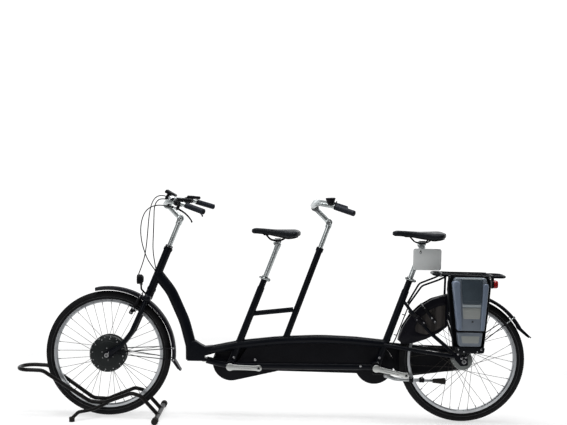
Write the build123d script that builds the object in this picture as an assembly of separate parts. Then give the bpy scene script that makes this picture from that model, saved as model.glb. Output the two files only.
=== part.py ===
from build123d import *
import os
from math import sin, cos, tan, atan2, radians, degrees, sqrt, pi

# Electric tandem bicycle, standing with its front wheel in a floor wheel stand.
# Millimetres. X points forward, Y to the rider's left, Z up. The wheels and the
# stand's feet rest on Z = 0. All lengths below are worked out with the rear axle at
# X = 0 and are moved at the end so that the whole object is centred over the origin.

# ------------------------------------------------------------------ driving sizes
X_MID = 979.75           # middle of the overall length, measured from the rear axle
WHEEL_BASE = 1841.0      # rear axle to front axle
TYRE_TUBE_R = 23.5       # 47 mm wide tyre
TYRE_RING_R = 303.0      # centre of the tyre's section, 559 mm bead seat
AXLE_Z = TYRE_TUBE_R + TYRE_RING_R
RIM_OUT_R = 286.0        # top of the rim's walls
RIM_IN_R = 267.0         # spoke side of the rim
RIM_HALF = 12.5          # half the rim's width
SPOKES = 36

STEER_MID = (1581.0, 768.0)   # X, Z of a point on the steering axis
STEER_SLOPE = 0.396           # X run per Z drop, 68.4 degrees from the ground
STEERER_R = 14.3
HEAD_R = 21.0
HEAD_Z0 = 668.0
HEAD_Z1 = 872.0

HUB_MOTOR_R = 95.0
HUB_MOTOR_HALF = 38.0
FORK_HALF = 59.0         # middle of a fork tip from the centre plane

FRONT_BB = (1203.0, 281.0)
REAR_BB = (451.0, 286.0)
BB_SHELL_R = 22.0
BB_SHELL_HALF = 38.0
SPINDLE_R = 8.5
CRANK_FRONT = 148.0      # front arm, spindle to pedal hole
CRANK_REAR = 158.0       # rear arm
CRANK_FRONT_DEG = -1.4   # rest angles, measured from straight back
CRANK_REAR_DEG = -12.3
ARM_IN = 80.0            # inner face of a crank arm from the centre plane
ARM_OUT = 94.0
PEDAL_R = 7.0            # pedal thread, nominal 9/16 inch

STAY_HALF = 66.0         # rear dropouts from the centre plane
MUD_R = 350.0            # outside of the mudguards
MUD_T = 2.6
MUD_HALF = 29.0

SEAT_POST_R = 13.6
SADDLE_W_FRONT = 205.0
SADDLE_W_REAR = 215.0

STAND_TUBE_R = 10.0

out = "parts"
os.makedirs(out, exist_ok=True)


# ------------------------------------------------------------------ small helpers
def V(p):
    return Vector(*p)


def steer_x(z):
    return STEER_MID[0] + (STEER_MID[1] - z) * STEER_SLOPE


def solids_of(*things):
    found = []
    for t in things:
        if t is None:
            continue
        if isinstance(t, (list, tuple, ShapeList)):
            for s in t:
                found.extend(solids_of(s))
        else:
            found.extend(list(t.solids()))
    return found


def whole(*things):
    """One part from many solids, fused where they meet."""
    items = solids_of(*things)
    r = Part(Compound(items[:1]).wrapped)
    for s in items[1:]:
        r = r + Part(Compound([s]).wrapped)
    return r


def keep_big(shape, least=40.0):
    items = [s for s in solids_of(shape) if s.volume > least]
    return Part(Compound(items).wrapped)


def carve(shape, *tools):
    r = shape
    for t in tools:
        if t is None:
            continue
        a, b = r.bounding_box(), t.bounding_box()
        if (a.min.X > b.max.X or b.min.X > a.max.X or a.min.Y > b.max.Y or
                b.min.Y > a.max.Y or a.min.Z > b.max.Z or b.min.Z > a.max.Z):
            continue
        r = r - t
    return keep_big(r)


def rod(a, b, r, r2=None):
    """Round bar or cone from a to b."""
    a, b = V(a), V(b)
    d = b - a
    pl = Plane(origin=a, z_dir=d.normalized())
    al = (Align.CENTER, Align.CENTER, Align.MIN)
    if r2 is None or abs(r2 - r) < 1e-6:
        return pl * Cylinder(r, d.length, align=al)
    return pl * Cone(r, r2, d.length, align=al)


def ball(p, r):
    return Pos(*p) * Sphere(r)


def bend(points, radii):
    if len(points) == 2:
        return Polyline(*points)
    if not isinstance(radii, (list, tuple)):
        radii = [radii] * (len(points) - 2)
    return FilletPolyline(*points, radius=list(radii))


def tube(points, r, radii):
    """Round tube along straight runs joined by arcs."""
    path = bend(points, radii)
    sec = Plane(origin=path @ 0, z_dir=path % 0) * Circle(r)
    return sweep(sec, path=path)


def oval_tube(points, ry, rn, radii):
    """Oval tube in the X-Z plane: ry across the bicycle, rn in the plane."""
    path = bend(points, radii)
    pl = Plane(origin=path @ 0, x_dir=(0, 1, 0), z_dir=path % 0)
    return sweep(pl * Ellipse(ry, rn), path=path)


def slab(points_xz, y0, y1):
    """Flat plate: a polygon in X-Z between two Y values."""
    lo, hi = min(y0, y1), max(y0, y1)
    pl = Plane(origin=(0, hi, 0), x_dir=(1, 0, 0), z_dir=(0, -1, 0))
    # local x = X, local y = Z
    wire = Polyline(*[(x, z) for x, z in points_xz], close=True)
    face = make_face(wire)
    return extrude(pl * face, hi - lo)


def outline(items, y0, y1):
    """Plate from a closed list of corner points (x, z, corner radius)."""
    lo, hi = min(y0, y1), max(y0, y1)
    pl = Plane(origin=(0, hi, 0), x_dir=(1, 0, 0), z_dir=(0, -1, 0))
    pts = [(x, z) for x, z, _ in items]
    face = make_face(Polyline(*pts, close=True))
    sk = Sketch(face.wrapped) if not isinstance(face, Sketch) else face
    for x, z, r in items:
        if r > 0:
            vs = sorted(sk.vertices(), key=lambda q: (q.X - x) ** 2 + (q.Y - z) ** 2)
            sk = fillet(vs[0], r)
    return extrude(pl * sk, hi - lo)


def disc(cx, cz, r, y0, y1):
    lo, hi = min(y0, y1), max(y0, y1)
    return rod((cx, lo, cz), (cx, hi, cz), r)


def ring(cx, cz, profile):
    """Turned ring about the Y line through (cx, cz); profile points are (radius, y)."""
    pl = Plane(origin=(cx, 0, cz), x_dir=(1, 0, 0), z_dir=(0, 0, 1))
    face = make_face(Polyline(*profile, close=True))
    return revolve(pl * face, axis=Axis((cx, 0, cz), (0, 1, 0)))


def round_box(cx, cy, cz, sx, sy, sz, r):
    b = Pos(cx, cy, cz) * Box(sx, sy, sz)
    if r > 0:
        b = fillet(b.edges(), r)
    return b


def both(shape):
    """A piece and its mirror image across the centre plane."""
    return [shape, mirror(shape, about=Plane.XZ)]


nodes = {}


def node(name, *shapes):
    nodes[name] = solids_of(*shapes)
    print(name, len(nodes[name]), round(sum(s.volume for s in nodes[name]) / 1000.0, 1), flush=True)
    return Part(Compound(nodes[name]).wrapped)


# ================================================================== WHEELS
def tyre(cx):
    t = Pos(cx, 0, AXLE_Z) * Rot(90, 0, 0) * Torus(TYRE_RING_R, TYRE_TUBE_R)
    well = ring(cx, AXLE_Z, [(RIM_IN_R - 20, -RIM_HALF), (RIM_OUT_R, -RIM_HALF),
                             (RIM_OUT_R, RIM_HALF), (RIM_IN_R - 20, RIM_HALF)])
    return t - well


def rim(cx):
    return ring(cx, AXLE_Z, [
        (RIM_IN_R, -5.0), (RIM_IN_R + 5.0, -RIM_HALF), (RIM_OUT_R, -RIM_HALF),
        (RIM_OUT_R, -RIM_HALF + 1.8), (RIM_OUT_R - 6.5, -RIM_HALF + 2.4),
        (RIM_OUT_R - 7.5, -5.0), (RIM_OUT_R - 9.0, 0.0), (RIM_OUT_R - 7.5, 5.0),
        (RIM_OUT_R - 6.5, RIM_HALF - 2.4), (RIM_OUT_R, RIM_HALF - 1.8),
        (RIM_OUT_R, RIM_HALF), (RIM_IN_R + 5.0, RIM_HALF), (RIM_IN_R, 5.0)])


def spokes(cx, flange_r, flange_y, cross_deg, r=1.1):
    """Crossed spokes; each runs from a flange to the rim's spoke side."""
    items = []
    n = SPOKES
    for i in range(n):
        side = 1 if i % 2 == 0 else -1
        lead = 1 if (i // 2) % 2 == 0 else -1
        a_rim = radians(360.0 / n * i + 2.0)
        a_hub = a_rim + radians(cross_deg) * lead
        yh = side * (flange_y + (1.6 if lead > 0 else -1.6))
        p = (cx + flange_r * cos(a_hub), yh, AXLE_Z + flange_r * sin(a_hub))
        q = (cx + (RIM_IN_R - 0.8) * cos(a_rim), side * 2.2, AXLE_Z + (RIM_IN_R - 0.8) * sin(a_rim))
        items.append(rod(p, q, r))
    return items


def hub_motor(cx):
    b = ring(cx, AXLE_Z, [
        (6.08, -46), (20, -46), (22, -43), (66, -43), (70, -38.5), (88, -37),
        (95, -31), (95, -26), (91, -24), (91, 24), (95, 26), (95, 31), (88, 37),
        (70, 38.5), (66, 43), (22, 43), (20, 46), (6.08, 46)])
    return b


def rear_hub(cx):
    return ring(cx, AXLE_Z, [
        (5.58, -44), (24, -44), (26, -36), (52, -33), (52, -29), (40, -25),
        (36, -14), (36, 14), (40, 25), (52, 29), (52, 33), (26, 36), (22, 50),
        (5.58, 50)])


front_tyre = node("front_tyre", tyre(WHEEL_BASE))
rear_tyre = node("rear_tyre", tyre(0))
front_rim = node("front_rim", rim(WHEEL_BASE))
rear_rim = node("rear_rim", rim(0))
hub_motor_p = node("hub_motor", hub_motor(WHEEL_BASE))
rear_hub_p = node("rear_hub", rear_hub(0))
node("front_spokes", [s - hub_motor_p for s in spokes(WHEEL_BASE, 89.0, 29.0, 9.0)])
node("rear_spokes", [s - rear_hub_p for s in spokes(0, 53.2, 31.0, 62.0)])

# ================================================================== FRAME
# head tube with its two bearing cups
def on_steer(z, off=0.0):
    """Point on the steering axis at height z, moved forward by off at a right angle."""
    n = sqrt(1 + STEER_SLOPE ** 2)
    return (steer_x(z) + off / n, 0.0, z + off * STEER_SLOPE / n)


head = whole(rod(on_steer(HEAD_Z0), on_steer(HEAD_Z1), HEAD_R),
             rod(on_steer(HEAD_Z0 - 9), on_steer(HEAD_Z0 + 3), 23.5),
             rod(on_steer(HEAD_Z1 - 3), on_steer(HEAD_Z1 + 9), 23.5))
head = head - rod(on_steer(HEAD_Z0 - 40), on_steer(HEAD_Z1 + 40), STEERER_R + 0.07)
head_tube = node("head_tube", head)

# curved oval down tube, ending in the low toe of the frame
down = oval_tube([(1592, 0, 748), (1518, 0, 655), (1447, 0, 500), (1412, 0, 372), (1410, 0, 300)],
                 23.0, 28.5, [260, 420, 120])
toe = slab([(1430, 288), (1430, 396), (1391, 402), (1366, 386), (1338, 371), (1300, 376),
            (1300, 333), (1340, 322), (1340, 312), (1310, 306), (1310, 274), (1400, 286)],
           -23, 23)
toe = fillet([e for e in toe.edges() if abs((e % 0.5).Y) < 0.2 and abs((e @ 0.5).Y) > 22.9 and e.length > 20], 8)
cut_low = Pos(1410, 0, 240) * Box(300, 120, 112)
down = whole(down, toe) - cut_low
down = carve(down, rod(on_steer(HEAD_Z0 - 30), on_steer(HEAD_Z1 + 30), HEAD_R + 0.0),
             rod(on_steer(HEAD_Z0 - 9), on_steer(HEAD_Z0 + 3), 23.5))
down_tube = node("down_tube", down)

# upper beam, arched from the toe to the stoker's seat tube
upper = oval_tube([(1320, 0, 350), (1160, 0, 384), (960, 0, 408), (740, 0, 420), (560, 0, 414), (398, 0, 399)],
                  24.0, 22.0, [900, 1400, 1400, 1000])
# lower beam, through both bottom brackets
lower = tube([(1330, 0, 299), (1255, 0, 281), (1180, 0, 272), (440, 0, 278)], 18.0, [300, 400])
bbf = disc(FRONT_BB[0], FRONT_BB[1], BB_SHELL_R, -BB_SHELL_HALF, BB_SHELL_HALF)
bbr = disc(REAR_BB[0], REAR_BB[1], BB_SHELL_R, -BB_SHELL_HALF, BB_SHELL_HALF)
borf = disc(FRONT_BB[0], FRONT_BB[1], SPINDLE_R + 0.07, -60, 60)
borr = disc(REAR_BB[0], REAR_BB[1], SPINDLE_R + 0.07, -60, 60)
shells = node("bottom_brackets", bbf - borf, bbr - borr)

upper_beam = node("upper_beam", carve(upper, down_tube))
lower_beam = node("lower_beam", carve(lower, down_tube, bbf, bbr))

# seat tubes run down to the bottom brackets, each with a clamp collar at its top
def seat_tube(bb, top, r_low, step):
    a = Vector(bb[0], 0, bb[1])
    b = Vector(top[0], 0, top[1])
    d = (b - a).normalized()
    s = a + d * step
    t = rod((a.X, 0, a.Z), (s.X, 0, s.Z), r_low)
    t = whole(t, rod((s.X, 0, s.Z), (b.X, 0, b.Z), 16.2))
    c0, c1 = b - d * 16, b + d * 3
    t = whole(t, rod((c0.X, 0, c0.Z), (c1.X, 0, c1.Z), 19.0))
    lug = Plane(origin=(b - d * 7), x_dir=(0, 1, 0), z_dir=d) * (Pos(0, 21, 0) * Box(30, 10, 12))
    return t, lug, d


st_f, lug_f, dir_f = seat_tube(FRONT_BB, (1031, 737), 19.0, 432)
st_r, lug_r, dir_r = seat_tube((441, 286), (276, 745), 19.0, 420)
beam_tools = [upper, lower, bbf, bbr]
st_f = carve(st_f, *beam_tools)
st_r = carve(st_r, *beam_tools)

# stoker's handlebar mast and the link tube between it and the captain's seat tube
mast = rod((926, 0, 400), (748, 0, 893), 16.5)
mast_col = whole(mast, rod((754, 0, 876.4), (746.8, 0, 896.4), 19.5))
mast_c = carve(mast_col, upper)
stoker_mast = node("stoker_mast", mast_c)
link = rod((1088, 0, 547), (882, 0, 571), 13.0)

# posts, cut to length just inside the tubes
def seat_post(top_of_tube, top, d):
    b = Vector(top_of_tube[0], 0, top_of_tube[1])
    t = Vector(top[0], 0, top[1])
    return rod((b.X, 0, b.Z), (t.X, 0, t.Z), SEAT_POST_R)


POST_F_TOP = (968.0, 905.0)
POST_R_TOP = (219.5, 905.0)
post_f_axis = rod((1031 + 60 * 0.353, 0, 737 - 60 * 0.936), (POST_F_TOP[0], 0, POST_F_TOP[1]), SEAT_POST_R)
post_r_axis = rod((276 + 60 * 0.338, 0, 745 - 60 * 0.941), (POST_R_TOP[0], 0, POST_R_TOP[1]), SEAT_POST_R)
st_f = carve(st_f, post_f_axis)
st_r = carve(st_r, post_r_axis)
seat_tubes = node("seat_tubes", whole(st_f, carve(lug_f, post_f_axis)), whole(st_r, carve(lug_r, post_r_axis)))
link_tube = node("link_tube", carve(link, st_f, mast_c))


# saddle clamp and rails on top of each post
def saddle_clamp(top, nose_x, tail_x, z_rail, tilt=0.0):
    x, z = top
    head_block = round_box(x, 0, z + 12, 34, 40, 26, 5)
    rails = []
    for s in (1, -1):
        rails.append(tube([(tail_x + 45, s * 38, z_rail + 16), (x - 40, s * 22, z_rail),
                           (x + 45, s * 22, z_rail), (nose_x - 35, s * 9, z_rail + 20)], 3.5, [30, 45]))
    return whole(head_block, *rails)


clamp_f = saddle_clamp(POST_F_TOP, 1105, 848, 918)
clamp_r = saddle_clamp(POST_R_TOP, 374, 97, 918)


def saddle(nose_x, tail_x, top_z, width, depth):
    """Plain closed body with the true outline: narrow nose, broad padded back."""
    L = nose_x - tail_x
    h = width / 2
    prof = [(nose_x, 0), (nose_x - 4, 14), (nose_x - 0.10 * L, 20), (nose_x - 0.30 * L, 25),
            (nose_x - 0.48 * L, 40), (nose_x - 0.66 * L, 0.80 * h), (nose_x - 0.82 * L, h),
            (tail_x + 0.07 * L, 0.90 * h), (tail_x, 0.45 * h)]
    pts = prof + [(tail_x - 2, 0)] + [(x, -y) for x, y in reversed(prof[1:])]
    mid_x = nose_x - 0.55 * L
    levels = [(0.0, 0.88), (0.18, 0.97), (0.42, 1.0), (0.68, 0.97), (0.88, 0.88), (1.0, 0.70)]
    faces = []
    for t, k in levels:
        ring_pts = [(mid_x + (x - mid_x) * (1 - (1 - k) * 0.35), y * k) for x, y in pts]
        pl = Plane(origin=(0, 0, top_z - depth + depth * t), x_dir=(1, 0, 0), z_dir=(0, 0, 1))
        faces.append(pl * make_face(Polyline(*ring_pts, close=True)))
    return loft(faces, ruled=True)


# blank card tied to the stoker's seat post
tag_x = POST_R_TOP[0] + 0.338 / 0.941 * 12.0
tag = outline([(120, 902, 12), (266, 902, 12), (266, 790, 12), (120, 790, 12)], 15.3, 16.8)
tie_a = (POST_R_TOP[0] + 0.3592 * 20, 0, POST_R_TOP[1] - 20)
tie_b = (POST_R_TOP[0] + 0.3592 * 12, 0, POST_R_TOP[1] - 12)
tag = whole(tag, rod(tie_a, tie_b, 15.6)) - post_r_axis
node("blank_tag", tag)

sad_f = saddle(1105, 850, 988, SADDLE_W_FRONT, 46)
sad_r = saddle(374, 99, 991, SADDLE_W_REAR, 46)
node("captain_saddle", carve(sad_f, clamp_f))
node("stoker_saddle", carve(sad_r, clamp_r))
seat_posts = node("seat_posts", whole(post_f_axis, clamp_f), whole(post_r_axis, clamp_r))

# thin cover panel between the beams and the two seat tubes
panel = slab([(1172, 280), (1100, 398), (960, 408), (740, 420), (560, 414), (420, 400), (452, 290)], -3.0, 3.0)
panel = carve(panel, upper, lower, bbf, bbr, st_f, st_r, mast_c)
node("beam_panel", panel)

# rear stays: one swept pair from the beam to the axle and one from the seat tube
def dropout(side):
    y0 = side * (STAY_HALF - 3.0)
    y1 = side * (STAY_HALF + 3.0)
    return outline([(-22, AXLE_Z - 20, 8), (16, AXLE_Z - 24, 10), (44, AXLE_Z + 8, 6),
                    (60, AXLE_Z + 44, 8), (30, AXLE_Z + 52, 8), (-20, AXLE_Z + 18, 8)], y0, y1)


def stays(side):
    low = tube([(418, side * 14, 398), (350, side * 34, 391), (215, side * 56, 373),
                (45, side * STAY_HALF, 352)], 9.5, [180, 260])
    high = tube([(306, side * 13, 622), (252, side * 42, 553), (170, side * 56, 465),
                 (42, side * STAY_HALF, 358)], 8.0, [80, 120])
    return whole(low, high, dropout(side))


axle_r = disc(0, AXLE_Z, 5.5, -80, 80)
nut_r = [disc(0, AXLE_Z, 11, STAY_HALF + 3.0, STAY_HALF + 13), disc(0, AXLE_Z, 11, -STAY_HALF - 13, -STAY_HALF - 3.0)]
rear_axle = node("rear_axle", whole(axle_r, *nut_r))
stay_l = carve(stays(1), upper, st_r, rear_axle)
stay_r = carve(stays(-1), upper, st_r, rear_axle)
rear_stays = node("rear_stays", stay_l, stay_r)

# enclosed chain cases on the right-hand side
def hull_case(discs, y0, y1):
    """Plate with straight tangents round two discs (x, z, r)."""
    (x0, z0, r0), (x1, z1, r1) = discs
    d = sqrt((x1 - x0) ** 2 + (z1 - z0) ** 2)
    ux, uz = (x1 - x0) / d, (z1 - z0) / d
    k = (r0 - r1) / d
    m = sqrt(1 - k * k)
    pts = []
    for s in (1, -1):
        nx, nz = ux * k - s * uz * m, uz * k + s * ux * m
        pts.append(((x0 + nx * r0, z0 + nz * r0), (x1 + nx * r1, z1 + nz * r1)))
    body = slab([pts[0][0], pts[0][1], pts[1][1], pts[1][0]], y0, y1)
    return whole(body, disc(x0, z0, r0, y0, y1), disc(x1, z1, r1, y0, y1))


CASE_IN, CASE_OUT = -42.0, -70.0
case_f = hull_case([(FRONT_BB[0], FRONT_BB[1] - 1, 98.0), (FRONT_BB[0] - 240, 304, 66.0)], CASE_IN, CASE_OUT)
case_m = slab([(FRONT_BB[0] - 60, 385), (960, 402), (740, 414), (560, 408), (REAR_BB[0] - 20, 392),
               (REAR_BB[0], 232), (FRONT_BB[0] - 240, 238)], CASE_IN, CASE_OUT)
case_b = disc(REAR_BB[0], REAR_BB[1] - 6, 102.0, CASE_IN, CASE_OUT)
case_front = whole(case_f, case_m, case_b)
case_front = case_front - [disc(FRONT_BB[0], FRONT_BB[1], 14.0, -90, -30), disc(REAR_BB[0], REAR_BB[1], 14.0, -90, -30)]
case_front = case_front - rod((450, -10, 402), (330, -38, 389), 11.5)
chain_case = node("chain_case", keep_big(case_front))

case_r = hull_case([(REAR_BB[0] - 175, 304, 84.0), (8, AXLE_Z - 6, 62.0)], -53.0, -61.5)
case_r = whole(case_r, slab([(400, 300), (404, 384), (330, 392), (276, 386), (276, 300)], -53.0, -61.5))
case_r = case_r - disc(REAR_BB[0], REAR_BB[1] - 6, 102.6, -90, -30)
for a_, b_, r_ in (((365, -30, 394), (215, -56, 373), 11.5), ((240, -52, 376), (30, -67, 350), 11.5),
                   ((190, -54, 486), (30, -67, 347), 10.5)):
    case_r = case_r - rod(a_, b_, r_)
case_r = keep_big(case_r - disc(0, AXLE_Z, 27.0, -90, -30))
node("drive_case", case_r)


# ------------------------------------------------------------------ rear mudguard
def mudguard(cx, a0, a1, half):
    """Curved strip round the wheel; angles in degrees from straight up, + is forward."""
    r = MUD_R
    prof = [(r - 16, -half), (r - 4.5, -half + 3.0), (r - 0.8, -half * 0.62), (r, 0.0),
            (r - 0.8, half * 0.62), (r - 4.5, half - 3.0), (r - 16, half),
            (r - 16, half - MUD_T), (r - 6.6, half - 5.4), (r - 0.8 - MUD_T, half * 0.60),
            (r - MUD_T, 0.0), (r - 0.8 - MUD_T, -half * 0.60), (r - 6.6, -half + 5.4),
            (r - 16, -half + MUD_T)]
    pl = Plane(origin=(0, 0, 0), x_dir=(0, 0, 1), z_dir=(1, 0, 0))
    # local x = Z (radius upward), local y = -Y
    face = make_face(Polyline(*prof, close=True))
    lift = pl * face
    body = revolve(lift, axis=Axis.Y, revolution_arc=a1 - a0)
    body = Rot(0, a0, 0) * body
    return Pos(cx, 0, AXLE_Z) * body


def around(cx, r, deg, y=0.0):
    a = radians(deg)
    return (cx + r * sin(a), y, AXLE_Z + r * cos(a))


def flap(cx, deg, drop, half, kick, w=3.0):
    """Rubber-like end flap below the mudguard's tail."""
    a = radians(deg)
    p = Vector(*around(cx, MUD_R - 4, deg))
    t = Vector(-cos(a), 0, sin(a))     # along the guard, towards the tail
    n = Vector(sin(a), 0, cos(a))
    q = p + t * drop + n * kick
    return slab([(p.X + n.X * w, p.Z + n.Z * w), (q.X + n.X * w, q.Z + n.Z * w),
                 (q.X - n.X * w, q.Z - n.Z * w), (p.X - n.X * w, p.Z - n.Z * w)], -half, half)


def stay_wire(cx, a, r_in, y_in, deg, y_out, wire=2.5):
    return rod((cx + a[0], y_in, AXLE_Z + a[1]), around(cx, MUD_R - 8, deg, y_out), wire)


mg_r = mudguard(0, -62.0, 74.0, MUD_HALF)
fl_r = flap(0, -61.0, 66, 24, 22)
wires_r = []
for s in (1, -1):
    wires_r.append(tube([(-8, s * (STAY_HALF + 6.5), AXLE_Z + 24), (-60, s * (STAY_HALF + 2), AXLE_Z + 76),
                         (MUD_R * sin(radians(-48.5)) , s * (MUD_HALF + 0.5), AXLE_Z + (MUD_R - 6) * cos(radians(-48.5)))],
                        2.6, [60]))
guard_r = whole(mg_r, fl_r, *wires_r)
guard_r = carve(guard_r, stay_l, stay_r, st_r)
node("rear_mudguard", guard_r)

# coat guards beside the rear wheel
def coat(side):
    pts = [(322, 404, 6), (330, 436, 10), (313, 492, 0), (276, 552, 0), (226, 602, 0), (164, 640, 0),
           (84, 664, 8), (84, 500, 10), (128, 466, 30), (196, 432, 40), (256, 412, 30)]
    return outline(pts, side * 30.0, side * 32.6)


coat_l = carve(coat(1), guard_r, stay_l, stay_r)
coat_r = carve(coat(-1), guard_r, stay_l, stay_r)
node("coat_guards", coat_l, coat_r)

# ring lock on the seat stays: a horseshoe round the tyre
def ring_lock():
    d = Vector(258 - 306, 0, 560 - 622).normalized()
    c = Vector(*(246, 0, 548))
    n = Vector(-d.Z, 0, d.X)
    # plane across the wheel, facing along the tyre's tangent
    ang = atan2(c.X, c.Z - AXLE_Z)
    rad = Vector(sin(ang), 0, cos(ang))
    pl = Plane(origin=Vector(0, 0, AXLE_Z) + rad * 303.0, x_dir=(0, 1, 0), z_dir=Vector(cos(ang), 0, -sin(ang)))
    # local x = Y, local y = along the radius
    outer = Sketch() + Circle(70)
    outer = outer + Pos(0, 8) * Rectangle(104, 112)
    inner = Circle(37) + Pos(0, -40) * Rectangle(74, 84)
    body = extrude(pl * (outer - inner), 13, both=True)
    return body


lock = carve(ring_lock(), guard_r, stay_l, stay_r, coat_l, coat_r, st_r)
lock = Part(Compound([max(solids_of(lock), key=lambda s: s.volume)]).wrapped)
node("ring_lock", lock)

# rear rim brake: two arms beside the rim
def brake_arms(cx, deg, tang, y_out=38.0, half=8.0):
    items = []
    for s in (1, -1):
        a = around(cx, 246, deg, s * y_out)
        b = around(cx, 300, deg, s * (y_out + 2))
        arm = rod(a, b, half)
        pad_a = around(cx, 277, deg - 6.0, s * 17.5)
        pad_b = around(cx, 277, deg + 6.0, s * 17.5)
        pad = rod(pad_a, pad_b, 5.0 - 0.6)
        pin = rod(around(cx, 277, deg, s * 16), around(cx, 277, deg, s * (y_out + 12)), 3.5)
        boss = rod(around(cx, 250, deg, s * (y_out - 4)), around(cx, 250, deg, s * (y_out + 14)), 9.0)
        items.append(whole(arm, pad, pin, boss))
    return items


rb = brake_arms(0, 37.0, 0)
rb = [carve(b, stay_l, stay_r, coat_l, coat_r) for b in rb]
rb = [Part(Compound([max(solids_of(b), key=lambda s: s.volume)]).wrapped) for b in rb]
node("rear_brake", *rb)

# ------------------------------------------------------------------ carrier, light, battery
RACK_Z = 768.0
RACK_HALF = 62.0
r_t = 7.0
rack_side = []
loop = tube([(-30, -RACK_HALF, RACK_Z), (-205, -RACK_HALF, RACK_Z - 3), (-205, RACK_HALF, RACK_Z - 3),
             (-30, RACK_HALF, RACK_Z)], r_t, [32, 32])
loop2 = tube([(-30, RACK_HALF, RACK_Z), (162, RACK_HALF, RACK_Z + 5), (162, -RACK_HALF, RACK_Z + 5),
              (-30, -RACK_HALF, RACK_Z)], r_t, [30, 30])
bars = [rod((x, -RACK_HALF, RACK_Z + 1), (x, RACK_HALF, RACK_Z + 1), 4.5) for x in (-140, -30, 90)]
mid = rod((-205, 0, RACK_Z - 3), (162, 0, RACK_Z + 5), 4.5)
legs = []
for s in (1, -1):
    legs.append(tube([(84, s * RACK_HALF, RACK_Z), (88, s * 60, 560), (26, s * (STAY_HALF + 10), 400),
                      (14, s * (STAY_HALF + 8), 344)], 6.0, [120, 60]))
    legs.append(rod((-122, s * RACK_HALF, RACK_Z), (-6, s * (STAY_HALF + 8), 352), 6.0))
    legs.append(tube([(100, s * 60, RACK_Z - 3), (140, s * 58, 745), (222, s * 50, 713), (285, s * 24, 612)], 5.0, [60, 40]))
rack = whole(loop, loop2, *bars, mid, *legs)
rack = carve(rack, stay_l, stay_r, guard_r, coat_l, coat_r, lock, st_r, rear_axle)
rack = Part(Compound([max(solids_of(rack), key=lambda s: s.volume)]).wrapped)
carrier = node("carrier", rack)

# battery on the left of the carrier, standing in its holder
BY0, BY1 = 84.0, 150.0
batt = outline([(84, 768, 18), (-104, 768, 18), (-106, 730, 8), (-78, 492, 6), (-72, 414, 10), (42, 414, 10), (56, 492, 0)], BY0, BY1)
batt = fillet([e for e in batt.edges() if abs(e.center().Y - BY1) < 0.5], 9.0)
hold = whole(outline([(92, 770, 8), (98, 700, 10), (60, 388, 8), (-90, 388, 8), (-122, 700, 10), (-114, 770, 8)], 72.5, BY0),
             outline([(58, 412, 4), (54, 386, 8), (-86, 386, 8), (-90, 412, 4)], BY0, BY1 - 6))
hold = carve(hold, rack, stay_l, batt, guard_r)
hold = Part(Compound([max(solids_of(hold), key=lambda s: s.volume)]).wrapped)
node("battery_holder", hold)
node("battery_pack", carve(batt, rack, hold))

tail = round_box(-158, 0, 722, 34, 74, 44, 7)
tail = whole(tail, Pos(-150, 0, 752) * Box(14, 30, 22))
node("tail_light", carve(tail, rack))


# ------------------------------------------------------------------ handlebars
def handlebar(clamp, pts, r=11.1, radii=(70, 70, 60)):
    right = [(x, -y, z) for x, y, z in pts]
    full = list(reversed(right)) + [clamp] + list(pts) if clamp else list(reversed(right)) + list(pts)
    return full


# stoker's bar, fixed on the mast
STK = (778.0, 0.0, 1106.0)
stk_pts = [(790, 60, 1112), (772, 170, 1132), (700, 245, 1122), (597, 302, 1090)]
stk_full = [(x, -y, z) for x, y, z in reversed(stk_pts)] + stk_pts
stk_bar = tube(stk_full, 11.1, [70, 90, 60, 60, 90, 70])
grip_r = 15.5


def grips(pts, length, r):
    items = []
    for s in (1, -1):
        b = Vector(pts[-1][0], s * pts[-1][1], pts[-1][2])
        a = Vector(pts[-2][0], s * pts[-2][1], pts[-2][2])
        d = (b - a).normalized()
        e = b + d * 4
        st = b - d * length
        g = rod((st.X, st.Y, st.Z), (e.X, e.Y, e.Z), r)
        g = fillet(g.edges(), 3.5)
        items.append(g)
    return items


stk_grips = [carve(g, stk_bar) for g in grips(stk_pts, 108, grip_r)]
node("stoker_grips", *stk_grips)
node("stoker_handlebar", stk_bar)
stem_s = whole(rod((748 + 6, 0, 893 - 16), (707, 0, 1008), 12.7),
               rod((709, 0, 1003), (704, 0, 1022), 16.0),
               rod((705, -19, 1030), (705, 19, 1030), 17.0),
               rod((705, 0, 1030), (776, 0, 1100), 13.5),
               rod((779, -22, 1105), (779, 22, 1105), 19.0))
stem_s = carve(stem_s, stk_bar)
stem_s = Part(Compound([max(solids_of(stem_s), key=lambda s: s.volume)]).wrapped)
sm = carve(mast_c, stem_s)
nodes["stoker_mast"] = solids_of(sm)
node("stoker_stem", stem_s)


def along(pts, i, t, s=1):
    a, b = Vector(*pts[i]), Vector(*pts[i + 1])
    p = a + (b - a) * t
    return (p.X, s * p.Y, p.Z)


bell_at = along(stk_pts, 1, 0.92)
bell = whole(Pos(bell_at[0] + 4, bell_at[1], bell_at[2] + 30) * Cylinder(25, 24),
             Pos(bell_at[0], bell_at[1], bell_at[2] + 8) * Cylinder(15, 22))
bell = carve(bell, stk_bar)
bell = Part(Compound([max(solids_of(bell), key=lambda s: s.volume)]).wrapped)
node("bell", bell)

# ------------------------------------------------------------------ kickstand
KICK = (398.0, 52.0, 246.0)
kb = whole(round_box(430, 26, 251, 70, 26, 16, 4),
           rod((KICK[0], 32, KICK[2]), (KICK[0], 45, KICK[2]), 11),
           rod((KICK[0], 40, KICK[2]), (KICK[0], 60, KICK[2]), 5.0))
kb = carve(kb, lower, bbr, lower_beam)
kb = Part(Compound([max(solids_of(kb), key=lambda s: s.volume)]).wrapped)
node("kickstand_bracket", kb)

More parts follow.
